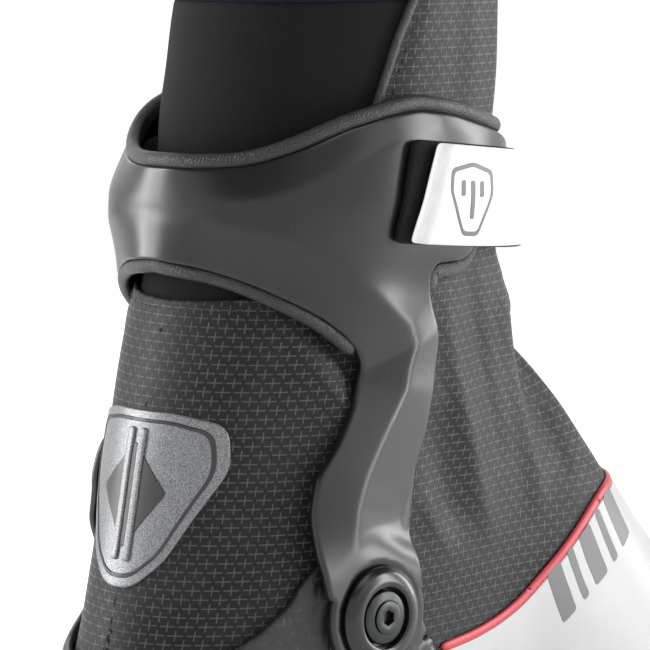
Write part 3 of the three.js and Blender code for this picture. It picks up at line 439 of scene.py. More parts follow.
def nearest(points, targets):
    """(index, distance) of the target nearest to each point."""
    tree = kdtree.KDTree(len(targets))
    for i, p in enumerate(targets):
        tree.insert(p if len(p) == 3 else (p[0], p[1], 0.0), i)
    tree.balance()
    found = [tree.find(p if len(p) == 3 else (p[0], p[1], 0.0)) for p in points]
    return np.array([f[1] for f in found]), np.array([f[2] for f in found])


def at_points(offset, u, q, base, distance):
    """Values of an offset, a number or a function of (u, q, points, distance to the edge)."""
    value = offset(u, q, base, distance) if callable(offset) else offset
    return np.broadcast_to(value, u.shape).astype(float)


def panel(name, chart, loops, outer, inner, edge=0.5, spacing=1.6, seam=None, step=1.0):
    """A closed shell over a region of a chart, with rounded edges. outer and inner are the
    offsets of its two faces from the chart's surface."""
    lines = [resample(np.vstack([loop, loop[:1]]), step)[:-1] for loop in loops]
    boundary = np.concatenate(lines)
    rows = []
    for line in lines:
        ahead, behind = np.roll(line, -1, 0), np.roll(line, 1, 0)
        along = ahead - behind
        along /= np.maximum(np.linalg.norm(along, axis=1, keepdims=True), 1e-9)
        across = np.stack([-along[:, 1], along[:, 0]], 1)
        for reach in EDGE_ROWS:
            for sign in (-1, 1):
                rows.append(np.concatenate([line + across * sign * edge * reach,
                                            np.full((len(line), 1), edge * reach)], 1))
    rows = np.concatenate(rows)
    _, away = nearest(rows[:, :2], boundary)
    rows = rows[(away > rows[:, 2] * 0.93) & inside_loops(rows[:, :2], lines)][:, :2]
    low, high = boundary.min(0), boundary.max(0)
    gx = np.arange(low[0], high[0], spacing)
    gy = np.arange(low[1], high[1], spacing * 0.87)
    grid = np.stack(np.meshgrid(gx, gy), -1)
    grid[1::2, :, 0] += spacing / 2
    grid = grid.reshape(-1, 2)
    grid = grid[inside_loops(grid, lines)]
    _, away = nearest(grid, boundary)
    grid = grid[away > max(edge * EDGE_ROWS[-1] + spacing * 0.45, spacing * 0.5)]
    points = np.concatenate([boundary, rows, grid])
    edges, first = [], 0
    for line in lines:
        n = len(line)
        edges += [(first + i, first + (i + 1) % n) for i in range(n)]
        first += n
    verts, _, faces, _, _, _ = delaunay_2d_cdt([Vector(p) for p in points], edges, [], 0, 1e-5)
    flat = np.array([tuple(v) for v in verts])
    faces = np.array([f for f in faces if len(f) == 3])
    centre = flat[faces].mean(1)
    faces = faces[inside_loops(centre, lines)]
    used = np.unique(faces)
    flat, faces = flat[used], np.searchsorted(used, faces)
    u, q = flat[:, 0], flat[:, 1]
    base, normal = chart.point(u, q), chart.normal(u, q)
    dense = np.concatenate([resample(np.vstack([line, line[:1]]), 0.25)[:-1] for line in lines])
    if seam is not None:
        dense = dense[~seam(dense)]
    _, distance = nearest(base, chart.point(dense[:, 0], dense[:, 1]))
    edges = np.concatenate([faces[:, [0, 1]], faces[:, [1, 2]], faces[:, [2, 0]]])
    _, first_use, uses = np.unique(np.sort(edges, 1), axis=0, return_index=True, return_counts=True)
    border = [tuple(e) for e in edges[first_use[uses == 1]]]
    rim = np.unique(np.array(border))
    on_seam = seam(flat) if seam is not None else np.zeros(len(flat), bool)
    joined = rim[on_seam[rim]]
    base[joined, 1] = normal[joined, 1] = 0
    normal[joined] = unit_rows(normal[joined])
    distance[rim] = np.where(on_seam[rim], distance[rim], 0)
    top, under = (at_points(face, u, q, base, distance) for face in (outer, inner))
    radius = np.minimum(edge, (top - under) / 2)
    short = radius - np.minimum(distance, radius)
    drop = radius - np.sqrt(np.maximum(radius ** 2 - short ** 2, 0))
    heights = np.clip(base[:, 2], LEVEL_LOW, LEVEL_HIGH - 2)
    level = LEVEL.locate(np.stack([base[:, 0], heights], 1), 1)[:, 0]
    weave = np.stack([np.where(base[:, 1] < 0, -level, level), base[:, 2], distance], 1)
    upper_verts = base + normal * (top - drop)[:, None]
    tri = outward(faces, upper_verts, normal)
    lower_verts = base + normal * (under + drop)[:, None]
    n = len(flat)
    walls = []
    turned = (tri[0] != faces[0]).any()
    for a, b in border:
        if on_seam[a] and on_seam[b]:
            continue
        walls.append((b, a, a + n, b + n) if not turned else (a, b, b + n, a + n))
    all_faces = [tuple(f) for f in tri] + [(f[0] + n, f[2] + n, f[1] + n) for f in tri] + walls
    return make_object(name, np.concatenate([upper_verts, lower_verts]), all_faces,
                       np.concatenate([weave, weave]), merge=5e-5 if seam is not None else 1e-6)


def outward(faces, verts, normal):
    """Faces turned so that they look outward."""
    a, b, c = verts[faces[:, 0]], verts[faces[:, 1]], verts[faces[:, 2]]
    looks = (np.cross(b - a, c - a) * normal[faces[:, 0]]).sum(1)
    return faces if np.median(looks) > 0 else faces[:, ::-1]


def sweep(name, centres, across, up, profile, close=True, shrink=3):
    """Carries a closed profile of (across, up) points along a line, with rounded ends."""
    count, size = len(profile), len(centres)
    profile = np.array(profile, float)
    middle = profile.mean(0)
    rings = []
    for i in range(size):
        at_end = min(i, size - 1 - i)
        scale = 1.0
        if close and at_end < shrink:
            t = 1 - (at_end + 0.12) / shrink
            scale = math.sqrt(max(1 - t * t, 0))
        shape = middle + (profile - middle) * scale
        rings.append(centres[i] + across[i] * shape[:, :1] + up[i] * shape[:, 1:])
    faces = tube_faces(size, count)
    faces.append(tuple(range(count - 1, -1, -1)))
    faces.append(tuple((size - 1) * count + j for j in range(count)))
    weave = np.stack([np.repeat(length_along(centres), count),
                      np.tile(np.arange(count) * 0.7, size), np.zeros(size * count)], 1)
    obj = make_object(name, np.concatenate(rings), faces, weave)
    fix_normals(obj)
    return obj


def fix_normals(obj):
    """Turns a closed mesh's faces outward."""
    bm = bmesh.new()
    bm.from_mesh(obj.data)
    bmesh.ops.recalc_face_normals(bm, faces=bm.faces)
    bm.to_mesh(obj.data)
    bm.free()


def edge_frames(chart, line, step=1.2):
    """A chart line with closer points, the points' places, the directions across the line in
    the surface, and the normals."""
    line = resample(line, step)
    p, n = chart.point(line[:, 0], line[:, 1]), chart.normal(line[:, 0], line[:, 1])
    return line, p, np.cross(n, unit_rows(np.gradient(p, axis=0))), n


def ellipse(width, height, count, x=0.0, y=0.0):
    """A closed profile from its two half axes and its middle."""
    angle = 2 * math.pi * np.arange(count) / count
    return np.stack([x + width * np.cos(angle), y + height * np.sin(angle)], 1)


def lathe(name, profile, side, segments, hexed=()):
    """A round piece about the pivot axis from (radius, distance from the middle) points; the
    profile points numbered in hexed lie on a hexagon."""
    verts, faces = [], tube_faces(len(profile), segments)
    angle = 2 * math.pi * np.arange(segments) / segments
    six = math.cos(math.pi / 6) / np.cos((angle + math.pi / 6) % (math.pi / 3) - math.pi / 6)
    for i, (radius, reach) in enumerate(profile):
        r = radius * (six if i in hexed else 1.0)
        verts.append(np.stack([PIVOT_X + r * np.cos(angle), np.full(segments, side * reach),
                               PIVOT_Z + r * np.sin(angle)], 1))
    for end in (0, len(profile) - 1):
        if profile[0] != profile[-1]:
            faces.append(tuple(end * segments + j for j in range(segments)))
    obj = make_object(name, np.concatenate(verts), faces)
    fix_normals(obj)
    obj.data.set_sharp_from_angle(angle=SHARP)
    return obj


def apply_modifiers(obj):
    """Leaves an object with the mesh that its modifiers make."""
    graph = bpy.context.evaluated_depsgraph_get()
    mesh = bpy.data.meshes.new_from_object(obj.evaluated_get(graph))
    obj.modifiers.clear()
    obj.data = mesh


# ---------------------------------------------------------------- materials
class Nodes:
    """A material's node tree with short names for what the finishes use."""

    def __init__(self, name, colour, roughness, metallic=0.0, **sockets):
        self.material = bpy.data.materials.new(name)
        self.material.use_nodes = True
        self.tree = self.material.node_tree
        self.shader = self.tree.nodes["Principled BSDF"]
        self.shader.inputs["Base Color"].default_value = (*colour, 1)
        self.shader.inputs["Roughness"].default_value = roughness
        self.shader.inputs["Metallic"].default_value = metallic
        for socket, value in sockets.items():
            self.shader.inputs[socket.replace("_", " ")].default_value = value

    def link(self, value, socket):
        if hasattr(value, "links"):
            self.tree.links.new(value, socket)
        else:
            socket.default_value = value

    def math(self, operation, a, b=0.0, c=0.0):
        node = self.tree.nodes.new("ShaderNodeMath")
        node.operation = operation
        for i, value in enumerate((a, b, c)):
            self.link(value, node.inputs[i])
        return node.outputs[0]

    def below(self, value, limit, soft):
        """1 where value is under the limit and 0 over it, with a soft edge."""
        return self.scale(value, 1, 0, limit - soft, limit + soft)

    def scale(self, value, low, high, from_low=0.0, from_high=1.0):
        """value moved from one range to another."""
        node = self.tree.nodes.new("ShaderNodeMapRange")
        self.link(value, node.inputs["Value"])
        for end, number in (("From Min", from_low), ("From Max", from_high),
                            ("To Min", low), ("To Max", high)):
            node.inputs[end].default_value = number
        return node.outputs["Result"]

    def weave(self):
        """(u, z, edge distance) of the surface in millimetres."""
        node = self.tree.nodes.new("ShaderNodeAttribute")
        node.attribute_name = "weave"
        split = self.tree.nodes.new("ShaderNodeSeparateXYZ")
        self.tree.links.new(node.outputs["Vector"], split.inputs[0])
        return split.outputs

    def place(self):
        """Object coordinates in millimetres."""
        node = self.tree.nodes.new("ShaderNodeTexCoord")
        scaled = self.tree.nodes.new("ShaderNodeVectorMath")
        scaled.operation = "SCALE"
        scaled.inputs["Scale"].default_value = 1000
        self.tree.links.new(node.outputs["Object"], scaled.inputs[0])
        return scaled.outputs[0]

    def noise(self, per_mm, detail=3.0, stretch=None, rough=0.55):
        node = self.tree.nodes.new("ShaderNodeTexNoise")
        vector = self.place()
        if stretch is not None:
            stretched = self.tree.nodes.new("ShaderNodeVectorMath")
            stretched.operation = "MULTIPLY"
            stretched.inputs[1].default_value = stretch
            self.tree.links.new(vector, stretched.inputs[0])
            vector = stretched.outputs[0]
        self.tree.links.new(vector, node.inputs["Vector"])
        node.inputs["Scale"].default_value = per_mm
        node.inputs["Detail"].default_value = detail
        node.inputs["Roughness"].default_value = rough
        return node.outputs[0]

    def cells(self, per_mm, feature="F1"):
        node = self.tree.nodes.new("ShaderNodeTexVoronoi")
        node.feature = feature
        self.tree.links.new(self.place(), node.inputs["Vector"])
        node.inputs["Scale"].default_value = per_mm
        return node.outputs["Distance"]

    def mix(self, factor, a, b):
        node = self.tree.nodes.new("ShaderNodeMix")
        node.data_type = "RGBA"
        self.link(factor, node.inputs["Factor"])
        for socket, value in ((node.inputs[6], a), (node.inputs[7], b)):
            if hasattr(value, "links"):
                self.tree.links.new(value, socket)
            else:
                socket.default_value = (*value, 1)
        return node.outputs[2]

    def colour(self, value):
        self.tree.links.new(value, self.shader.inputs["Base Color"])

    def rough(self, value):
        self.tree.links.new(value, self.shader.inputs["Roughness"])

    def bump(self, height, depth_mm, strength=1.0):
        node = self.tree.nodes.new("ShaderNodeBump")
        node.inputs["Strength"].default_value = strength
        node.inputs["Distance"].default_value = depth_mm * MM
        self.tree.links.new(height, node.inputs["Height"])
        self.tree.links.new(node.outputs[0], self.shader.inputs["Normal"])


def softshell():
    """Charcoal stretch fabric with rows of small glossy crosses."""
    pitch, row = 5.1, 4.7
    arm_long, arm_tall, stroke = 2.05, 1.3, 0.17
    m = Nodes("softshell", (0.020, 0.021, 0.022), 0.5,
              Specular_IOR_Level=0.18, Sheen_Weight=0.06, Sheen_Roughness=0.35)
    u, v, _ = m.weave()
    masks = []

    def from_middle(value, size, shift):
        """Distance from the middle of the cell of that size."""
        share = m.math("FRACT", m.math("ADD", m.math("DIVIDE", value, size), shift))
        return m.math("MULTIPLY", m.math("ABSOLUTE", m.math("SUBTRACT", share, 0.5)), size)

    for shift in (0.0, 0.5):
        fu, fv = from_middle(u, pitch, shift + 40), from_middle(v, row, shift)
        bar = m.math("MULTIPLY", m.below(fu, arm_long, 0.06), m.below(fv, stroke, 0.05))
        post = m.math("MULTIPLY", m.below(fu, stroke, 0.05), m.below(fv, arm_tall, 0.06))
        masks.append(m.math("MAXIMUM", bar, post))
    crosses = m.math("MAXIMUM", *masks)
    grain = m.noise(2.2, 4)
    cloth = m.mix(m.scale(m.noise(0.05, 2), 0, 1, 0.35, 0.65),
                  (0.008, 0.0085, 0.009), (0.014, 0.0145, 0.0155))
    m.colour(m.mix(crosses, cloth, (0.062, 0.064, 0.066)))
    m.rough(m.math("SUBTRACT", m.scale(grain, 0.46, 0.60), m.math("MULTIPLY", crosses, 0.20)))
    m.bump(m.math("ADD", m.math("MULTIPLY", grain, 0.45), m.math("MULTIPLY", crosses, 0.9)), 0.10)
    return m.material


def twill(name, colour, pitch, roughness=0.75, sheen=0.25):
    """Fine diagonal rib over a knit, in the surface's own coordinates."""
    m = Nodes(name, colour, roughness,
              Specular_IOR_Level=0.14, Sheen_Weight=sheen, Sheen_Roughness=0.5)
    u, v, _ = m.weave()
    ridge = m.math("SINE", m.math("MULTIPLY", m.math("ADD", u, m.math("MULTIPLY", v, 0.8)),
                                  2 * math.pi / pitch))
    thread = m.math("SINE", m.math("MULTIPLY", v, 2 * math.pi / (pitch * 0.7)))
    height = m.math("ADD", m.math("MULTIPLY", ridge, 0.5), m.math("MULTIPLY", thread, 0.25))
    fuzz = m.noise(1.6, 4)
    # The colour follows the rib's height: painted shade in its grooves and painted light on its
    # ridges, mixed with random tone from the fuzz.
    rib_shade_and_fuzz = m.scale(m.math("ADD", height, fuzz), 0.0, 1.0, -0.3, 1.3)
    m.colour(m.mix(rib_shade_and_fuzz, tuple(c * 0.7 for c in colour), tuple(c * 1.25 for c in colour)))
    m.rough(m.scale(fuzz, roughness - 0.08, roughness + 0.1))
    m.bump(m.math("ADD", height, fuzz), 0.07)
    return m.material


def fuzzy(name, colour, tint, per_mm=1.3, sheen=0.5):
    """Brushed loop fabric."""
    m = Nodes(name, colour, 0.95, Specular_IOR_Level=0.2,
              Sheen_Weight=sheen, Sheen_Roughness=0.6, Sheen_Tint=(*tint, 1))
    fine = m.noise(per_mm * 2, 6, rough=0.75)
    coarse = m.noise(per_mm * 0.5, 3)
    m.colour(m.mix(m.scale(fine, 0, 1, 0.3, 0.7), colour, tint))
    m.bump(m.math("ADD", fine, m.math("MULTIPLY", coarse, 0.8)), 0.45)
    return m.material


def moulded(name, colour, roughness, grain=0.012, wear=0.05, coat=0.0, gloss=0.35):
    """Injection moulded plastic: fine texture, faint unevenness, scuffs."""
    m = Nodes(name, colour, roughness,
              Specular_IOR_Level=gloss, Coat_Weight=coat, Coat_Roughness=0.25)
    fine, broad = m.noise(3.0, 4), m.noise(0.03, 3)
    scuff = m.scale(m.noise(0.25, 6, (1, 1, 0.25), 0.7), 0, 1, 0.60, 0.80)
    worn = tuple(min(1, c * 1.6 + 0.01) for c in colour)
    m.colour(m.mix(m.math("MULTIPLY", scuff, wear * 4), colour, worn))
    m.rough(m.math("ADD", m.scale(broad, roughness - 0.05, roughness + 0.06),
                   m.math("MULTIPLY", scuff, wear)))
    m.bump(fine, grain)
    return m.material


def leatherette(name, colour, roughness=0.42):
    """Creased sheet with fine pores."""
    m = Nodes(name, colour, roughness)
    pores, fine = m.cells(1.15, "DISTANCE_TO_EDGE"), m.noise(2.5, 4)
    crease = m.noise(0.35, 4)
    height = m.math("ADD", m.math("MINIMUM", m.math("MULTIPLY", pores, 3.0), 0.6),
                    m.math("MULTIPLY", crease, 0.8))
    # The colour follows the crease noise that also raises the relief: painted shade in the crease
    # hollows and lighter raised parts, besides random tone.
    m.colour(m.mix(m.scale(crease, 0, 1, 0.3, 0.7), colour, tuple(c * 1.5 for c in colour)))
    m.rough(m.scale(fine, roughness - 0.07, roughness + 0.12))
    m.bump(height, 0.16)
    return m.material


def white_film(name="white_film", colour=(0.58, 0.585, 0.585)):
    """Smooth pale film with faint unevenness."""
    m = Nodes(name, colour, 0.38)
    fine, broad = m.noise(1.5, 5), m.noise(0.06, 3)
    m.colour(m.mix(m.scale(broad, 0, 1, 0.3, 0.7), colour, tuple(c * 0.93 for c in colour)))
    m.rough(m.scale(fine, 0.33, 0.50))
    m.bump(fine, 0.03)
    return m.material


def silver_film():
    """Speckled silver film."""
    m = Nodes("silver_film", (0.42, 0.43, 0.44), 0.35, 0.55)
    speck = m.noise(2.6, 5, rough=0.8)
    m.colour(m.mix(m.scale(speck, 0, 1, 0.38, 0.62), (0.05, 0.05, 0.053), (0.30, 0.31, 0.32)))
    m.rough(m.scale(speck, 0.28, 0.5))
    m.bump(speck, 0.04)
    return m.material


def steel(name="steel", colour=(0.55, 0.56, 0.58), roughness=0.26):
    """Brushed metal."""
    m = Nodes(name, colour, roughness, 1.0)
    lines = m.noise(0.9, 4, (1, 6, 1))
    m.rough(m.scale(lines, roughness - 0.06, roughness + 0.12))
    m.bump(lines, 0.01)
    return m.material


def composite():
    """Dark fibre reinforced plastic with short pale fibres in it."""
    m = Nodes("composite", (0.014, 0.0145, 0.015), 0.40)
    fibres = m.noise(0.55, 6, (0.25, 1, 1.6), 0.75)
    cross_fibres = m.noise(0.55, 6, (1.5, 1, 0.3), 0.75)
    fleck = m.scale(m.math("MAXIMUM", fibres, cross_fibres), 0, 1, 0.56, 0.72)
    m.colour(m.mix(fleck, (0.009, 0.0095, 0.010), (0.060, 0.060, 0.063)))
    m.rough(m.scale(fleck, 0.34, 0.52))
    m.bump(m.math("ADD", fleck, m.noise(2.0, 4)), 0.03)
    return m.material


def red_tape():
    """Woven red tape."""
    m = Nodes("red_tape", (0.40, 0.02, 0.035), 0.42)
    grain = m.noise(1.8, 4)
    m.colour(m.mix(m.scale(grain, 0, 1, 0.3, 0.7), (0.36, 0.016, 0.028), (0.46, 0.03, 0.045)))
    m.rough(m.scale(grain, 0.33, 0.5))
    m.bump(grain, 0.05)
    return m.material


def rubber():
    """Matt rubber with some dust on it."""
    m = Nodes("rubber", (0.018, 0.018, 0.019), 0.7)
    fine, dust = m.noise(1.2, 5), m.noise(0.12, 5)
    m.colour(m.mix(m.scale(dust, 0, 1, 0.45, 0.75), (0.016, 0.016, 0.017), (0.040, 0.039, 0.037)))
    m.rough(m.scale(fine, 0.6, 0.85))
    m.bump(fine, 0.06)
    return m.material


FINISHES = {
    "softshell": softshell(),
    "neoprene": twill("neoprene", (0.006, 0.0065, 0.0065), 0.62, 0.9, 0.06),
    "lining": twill("lining", (0.012, 0.0125, 0.014), 1.1, 0.85, 0.12),
    "hem_fleece": fuzzy("hem_fleece", (0.003, 0.0035, 0.008), (0.008, 0.010, 0.028), 1.5, 0.12),
    "loop_fabric": fuzzy("loop_fabric", (0.003, 0.003, 0.0035), (0.012, 0.012, 0.013), 1.2, 0.08),
    "cuff_plastic": moulded("cuff_plastic", (0.006, 0.0062, 0.0063), 0.29, 0.007, 0.03, gloss=0.48),
    "black_plastic": moulded("black_plastic", (0.006, 0.006, 0.0065), 0.24, 0.005, 0.03, 0.2),
    "washer_plastic": moulded("washer_plastic", (0.50, 0.50, 0.48), 0.45),
    "stiffener": moulded("stiffener", (0.16, 0.15, 0.14), 0.7, 0.05),
    "binding_trim": leatherette("binding_trim", (0.010, 0.010, 0.011)),
    "white_overlay": white_film(),
    # The toe's film is the white film made darker: partly its own silver-grey tone, partly painted
    # shade that holds down the strong light on the toe.
    "shaded_toe_film": white_film("shaded_toe_film", (0.37, 0.375, 0.37)),
    "silver_patch": silver_film(),
    "steel": steel(),
    "dark_steel": steel("dark_steel", (0.045, 0.047, 0.048), 0.33),
    "carbon": composite(),
    "red_trim": red_tape(),
    "rubber": rubber(),
    "foam": fuzzy("foam", (0.020, 0.020, 0.022), (0.045, 0.045, 0.048), 0.8, 0.2),
    "cord": twill("cord", (0.20, 0.21, 0.22), 0.9),
    "zip_tape": twill("zip_tape", (0.010, 0.010, 0.011), 0.8, 0.7),
    "print_grey": moulded("print_grey", (0.11, 0.11, 0.115), 0.42),
    "print_dark": moulded("print_dark", (0.030, 0.030, 0.032), 0.36),
    "thread": twill("thread", (0.022, 0.022, 0.024), 0.5, 0.6),
}


def finish_piece(obj, body, slot, nodes=(), look=None):
    """Gives a piece its finish, attaches it to its body (a bend piece has its place baked into its
    mesh instead) and hides the CAD nodes it stands for.
    """
    obj.data.materials.clear()
    obj.data.materials.append(FINISHES[look or slot])
    if body == "bend":
        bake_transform(obj)
    else:
        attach(obj, body)
    if nodes:
        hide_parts(*nodes)


# ---------------------------------------------------------------- camera and light
def aim(obj, at, target):
    """Puts a camera or light in its place, looking at a target."""
    obj.location = at
    obj.rotation_mode = "QUATERNION"
    obj.rotation_quaternion = (Vector(target) - Vector(at)).to_track_quat("-Z", "Y")


CAMERA_AZIMUTH, CAMERA_ELEVATION = math.radians(-43.5), math.radians(6.6)
CAMERA_TARGET = Vector((-0.058, 0, 0.1595))
BOOT_MIDDLE = (-0.05, 0, 0.13)
back_vector = Vector((math.sin(CAMERA_AZIMUTH) * math.cos(CAMERA_ELEVATION),
                      -math.cos(CAMERA_AZIMUTH) * math.cos(CAMERA_ELEVATION),
                      math.sin(CAMERA_ELEVATION)))
camera = bpy.data.objects.new("camera", bpy.data.cameras.new("camera"))
camera.data.lens = 199.4
aim(camera, CAMERA_TARGET + back_vector, CAMERA_TARGET)
bpy.context.scene.collection.objects.link(camera)
bpy.context.scene.camera = camera


def softbox(name, at, size, power):
    """A rectangular light that looks at the middle of the boot."""
    light = bpy.data.lights.new(name, "AREA")
    light.shape, light.size, light.size_y, light.energy = "RECTANGLE", size[0], size[1], power
    obj = bpy.data.objects.new(name, light)
    aim(obj, at, BOOT_MIDDLE)
    bpy.context.scene.collection.objects.link(obj)


def seen_from(azimuth, elevation, distance):
    """A place at an azimuth turned from the camera's, so that lights keep to its sides."""
    a, e = CAMERA_AZIMUTH + math.radians(azimuth), math.radians(elevation)
    return (BOOT_MIDDLE[0] + distance * math.sin(a) * math.cos(e),
            BOOT_MIDDLE[1] - distance * math.cos(a) * math.cos(e),
            BOOT_MIDDLE[2] + distance * math.sin(e))


softbox("left_strip", seen_from(-100, 12, 1.2), (0.30, 1.1), 14)
softbox("right_strip", seen_from(84, 10, 1.3), (0.26, 1.0), 12)
softbox("front_strip", seen_from(114, 4, 1.3), (0.30, 0.9), 9)
softbox("right_fill", seen_from(55, 35, 1.5), (0.8, 0.8), 2.5)
softbox("top_box", seen_from(25, 66, 1.4), (0.9, 0.9), 5)
softbox("far_box", seen_from(180, 30, 1.6), (1.6, 1.0), 4)

world = bpy.data.worlds.new("studio")
bpy.context.scene.world = world
world.use_nodes = True
world.node_tree.nodes["Background"].inputs[0].default_value = (1, 1, 1, 1)
world.node_tree.nodes["Background"].inputs[1].default_value = 0.12
bpy.context.scene.view_settings.view_transform = "Standard"


def make_floor():
    """A wide floor that curves up into a backdrop all round."""
    radius = [0, 1.0, 2.0, 3.0, 3.6, 4.0, 4.2, 4.2]
    height = [0, 0, 0, 0, 0.1, 0.5, 1.2, 3.0]
    count = 48
    verts = [(0, 0, 0)]
    for r, h in zip(radius[1:], height[1:]):
        for k in range(count):
            a = 2 * math.pi * k / count
            verts.append((r * math.cos(a) * 1000, r * math.sin(a) * 1000, h * 1000))
    faces = [(0, 1 + k, 1 + (k + 1) % count) for k in range(count)]
    for i in range(len(radius) - 2):
        for k in range(count):
            a, b = 1 + i * count + k, 1 + i * count + (k + 1) % count
            faces.append((a, a + count, b + count, b))
    obj = make_object("floor", np.array(verts, float), faces)
    pale = Nodes("floor_paint", (0.84, 0.84, 0.84), 0.9,
                 Emission_Strength=0.49, Emission_Color=(1, 1, 1, 1))
    obj.data.materials.append(pale.material)


make_floor()


# ---------------------------------------------------------------- softshell cover
def between(value, low, high):
    """0 below low and 1 above high, with a smooth step."""
    t = np.clip((value - low) / (high - low), 0, 1)
    return t * t * (3 - 2 * t)


def line_distance(points, line):
    """(distance, share along, side) of points from a polyline, all of one dimension."""
    line = np.asarray(line, float)
    best = np.full(len(points), 1e9)
    share, side = np.zeros(len(points)), np.ones(len(points))
    run = length_along(line)
    for i in range(len(line) - 1):
        a, d = line[i], line[i + 1] - line[i]
        t = np.clip(((points - a) @ d) / (d @ d), 0, 1)
        gap = points - (a + t[:, None] * d)
        away = np.linalg.norm(gap, axis=1)
        closer = away < best
        best = np.where(closer, away, best)
        share = np.where(closer, (run[i] + t * (run[i + 1] - run[i])) / run[-1], share)
        turn = d[0] * gap[:, 1] - d[1] * gap[:, 0]
        side = np.where(closer, np.sign(turn), side)
    return best, share, side


# Folds of the softshell: side view line, height, width; a negative height is a hollow.
FOLDS = [
    ([(-106, 168), (-97, 158), (-88, 146), (-80, 136)], 1.6, 5.0),
    ([(-98, 168), (-88, 158), (-80, 146), (-74, 134)], -2.6, 7.0),
    ([(-52, 172), (-47, 150), (-38, 128), (-30, 104), (-27, 90)], 1.6, 4.2),
    ([(-56, 140), (-50, 122), (-44, 106), (-42, 92)], -2.2, 7.0),
    ([(-40, 180), (-34, 158), (-26, 136), (-20, 118)], -1.6, 4.5),
    ([(-24, 180), (-17, 160), (-10, 138), (-5, 116), (-6, 100)], 2.0, 4.5),
    ([(-60, 118), (-54, 106), (-46, 97), (-38, 88)], 1.3, 4.0),
    ([(-12, 172), (-2, 152), (6, 132), (10, 114)], -1.8, 4.0),
    ([(-4, 168), (6, 148), (16, 132), (22, 120)], 1.2, 3.5),
]
LEG_FOLDS = [
    ([(-44, 262), (-46, 240), (-48, 222), (-50, 205)], -1.1, 6.5),
    ([(-57, 262), (-62, 240), (-68, 222)], 0.8, 5.0),
    ([(-27, 262), (-26, 240), (-27, 215)], 1.2, 5.0),
]


def cover_shape(u, _q, base, away):
    """How far the folds push the softshell in and out."""
    side_view = np.stack([base[:, 0], base[:, 2]], 1)
    out = np.zeros(len(u))
    for line, height, width in FOLDS + LEG_FOLDS:
        gap, share, _ = line_distance(side_view, line)
        fade = np.sin(np.clip(share, 0, 1) * math.pi) ** 0.6
        out += height * fade * np.exp(-(gap / width) ** 2)
    ripple = 0.35 * np.sin(base[:, 0] * 0.11 + base[:, 2] * 0.05) * np.sin(base[:, 2] * 0.085)
    calm = between(base[:, 2], 95, 112)
    out = np.where(out < 0, out * between(np.abs(u), 10, 30), out)
    return (out + ripple) * calm * between(away, 0, 6)


HEM_EDGE = [(-90, 180), (-96, 176), (-103, 173.5), (-109, 172)]
FOOT_EDGE = [(36, 14), (36, 35), (4, 62), (-18, 66), (-16, 70), (0, 81), (17, 95), (26, 99.5),
             (40, 102.5)]


def cover():
    """The softshell, open in front of the foot and joined along its back seam."""
    ends = {}
    for side in (-1, 1):
        hem = UPPER.locate(rounded([(-83, 192)] + HEM_EDGE + [(-117, 171)], 5), side)
        back_q = hem[-1, 1]
        hem[-1, 0] = side * UPPER.girth(back_q, side)
        gaiter = UPPER.locate(GAITER_EDGE[::-1] + [(-83, 192)], side)
        foot_q = np.linspace(HEEL_Q, FAN_END_Q + 10, 60)
        down_q = np.arange(back_q, HEEL_Q, 1.0)
        down, foot = (np.stack([side * UPPER.girth(q, side), q], 1) for q in (down_q, foot_q))
        front = UPPER.locate(FOOT_EDGE, side)
        ends[side] = np.concatenate([[[0, 14]], gaiter, hem, down, foot[:-12], front])
    ridge = UPPER.locate([(46, 103)], 1)
    loop = np.concatenate([ends[-1], [[0, ridge[0, 1]]], ends[1][:0:-1]])

    def seam(points):
        u, q = points.T
        girth = np.where(u < 0, UPPER.girth(q, -1), UPPER.girth(q, 1))
        return (np.abs(np.abs(u) - girth) < 0.6) & (q < HEEL_Q)

    obj = panel("softshell_cover", UPPER, [loop], cover_shape,
                lambda *at: cover_shape(*at) - 1.4, edge=0.7, spacing=1.9, seam=seam)
    finish_piece(obj, "bend", "softshell", ("boot_cover", "ankle_panel", "cover_upper"))


def stitches(name, chart, line, body, length, radius):
    """A row of short stitches lying along a line, six points round each of six rings."""
    _, p, _, n = edge_frames(chart, line, 0.35)
    run = length_along(p)
    verts, faces = [], []
    start = 0.0
    while start + length < run[-1]:
        at = np.linspace(start, start + length, 6)
        c, m = (np.stack([np.interp(at, run, row[:, k]) for k in range(3)], 1) for row in (p, n))
        w = np.cross(m, unit_rows(np.gradient(c, axis=0)))
        first = len(verts)
        for i, share in enumerate(np.linspace(-1, 1, 6)):
            r = radius * math.sqrt(max(1 - share ** 2, 0.02))
            lift = 0.05 + 0.16 * (1 - share ** 4)
            for a in range(6):
                turn = a * math.pi / 3
                verts.append(c[i] + m[i] * (lift + r * math.sin(turn)) + w[i] * r * math.cos(turn))
        faces += tube_faces(6, 6, first)
        faces.append(tuple(first + 5 - a for a in range(6)))
        faces.append(tuple(first + 30 + a for a in range(6)))
        start += length + 0.9
    obj = make_object(name, verts, faces)
    fix_normals(obj)
    finish_piece(obj, body, "softshell", look="thread")


def cover_edges():
    """Stitches along the softshell's edges and the roll along its front ones."""
    for s, label in SIDES:
        hem = UPPER.locate(rounded(HEM_EDGE + [(-117.2, 171)], 5), s)
        hem[-1, 0] = s * UPPER.girth(hem[-1, 1], s)
        stitches(f"hem_stitch_{label}", UPPER, hem + np.array([0, 2.6]), "bend", 1.7, 0.2)
        line = UPPER.locate(GAITER_EDGE[::-1] + [(-82, 192)], s)
        _, p, across, n = edge_frames(UPPER, line)
        piping = sweep(f"gaiter_roll_{label}", p - n * 0.5, across, n, ellipse(1.35, 1.25, 14))
        finish_piece(piping, "cuff", "binding_trim", (f"gaiter_piping_{label}",))
        inward = line + np.array([-s * 3.6, 0])
        stitches(f"gaiter_stitch_{label}", UPPER, inward, "cuff", 2.0, 0.2)


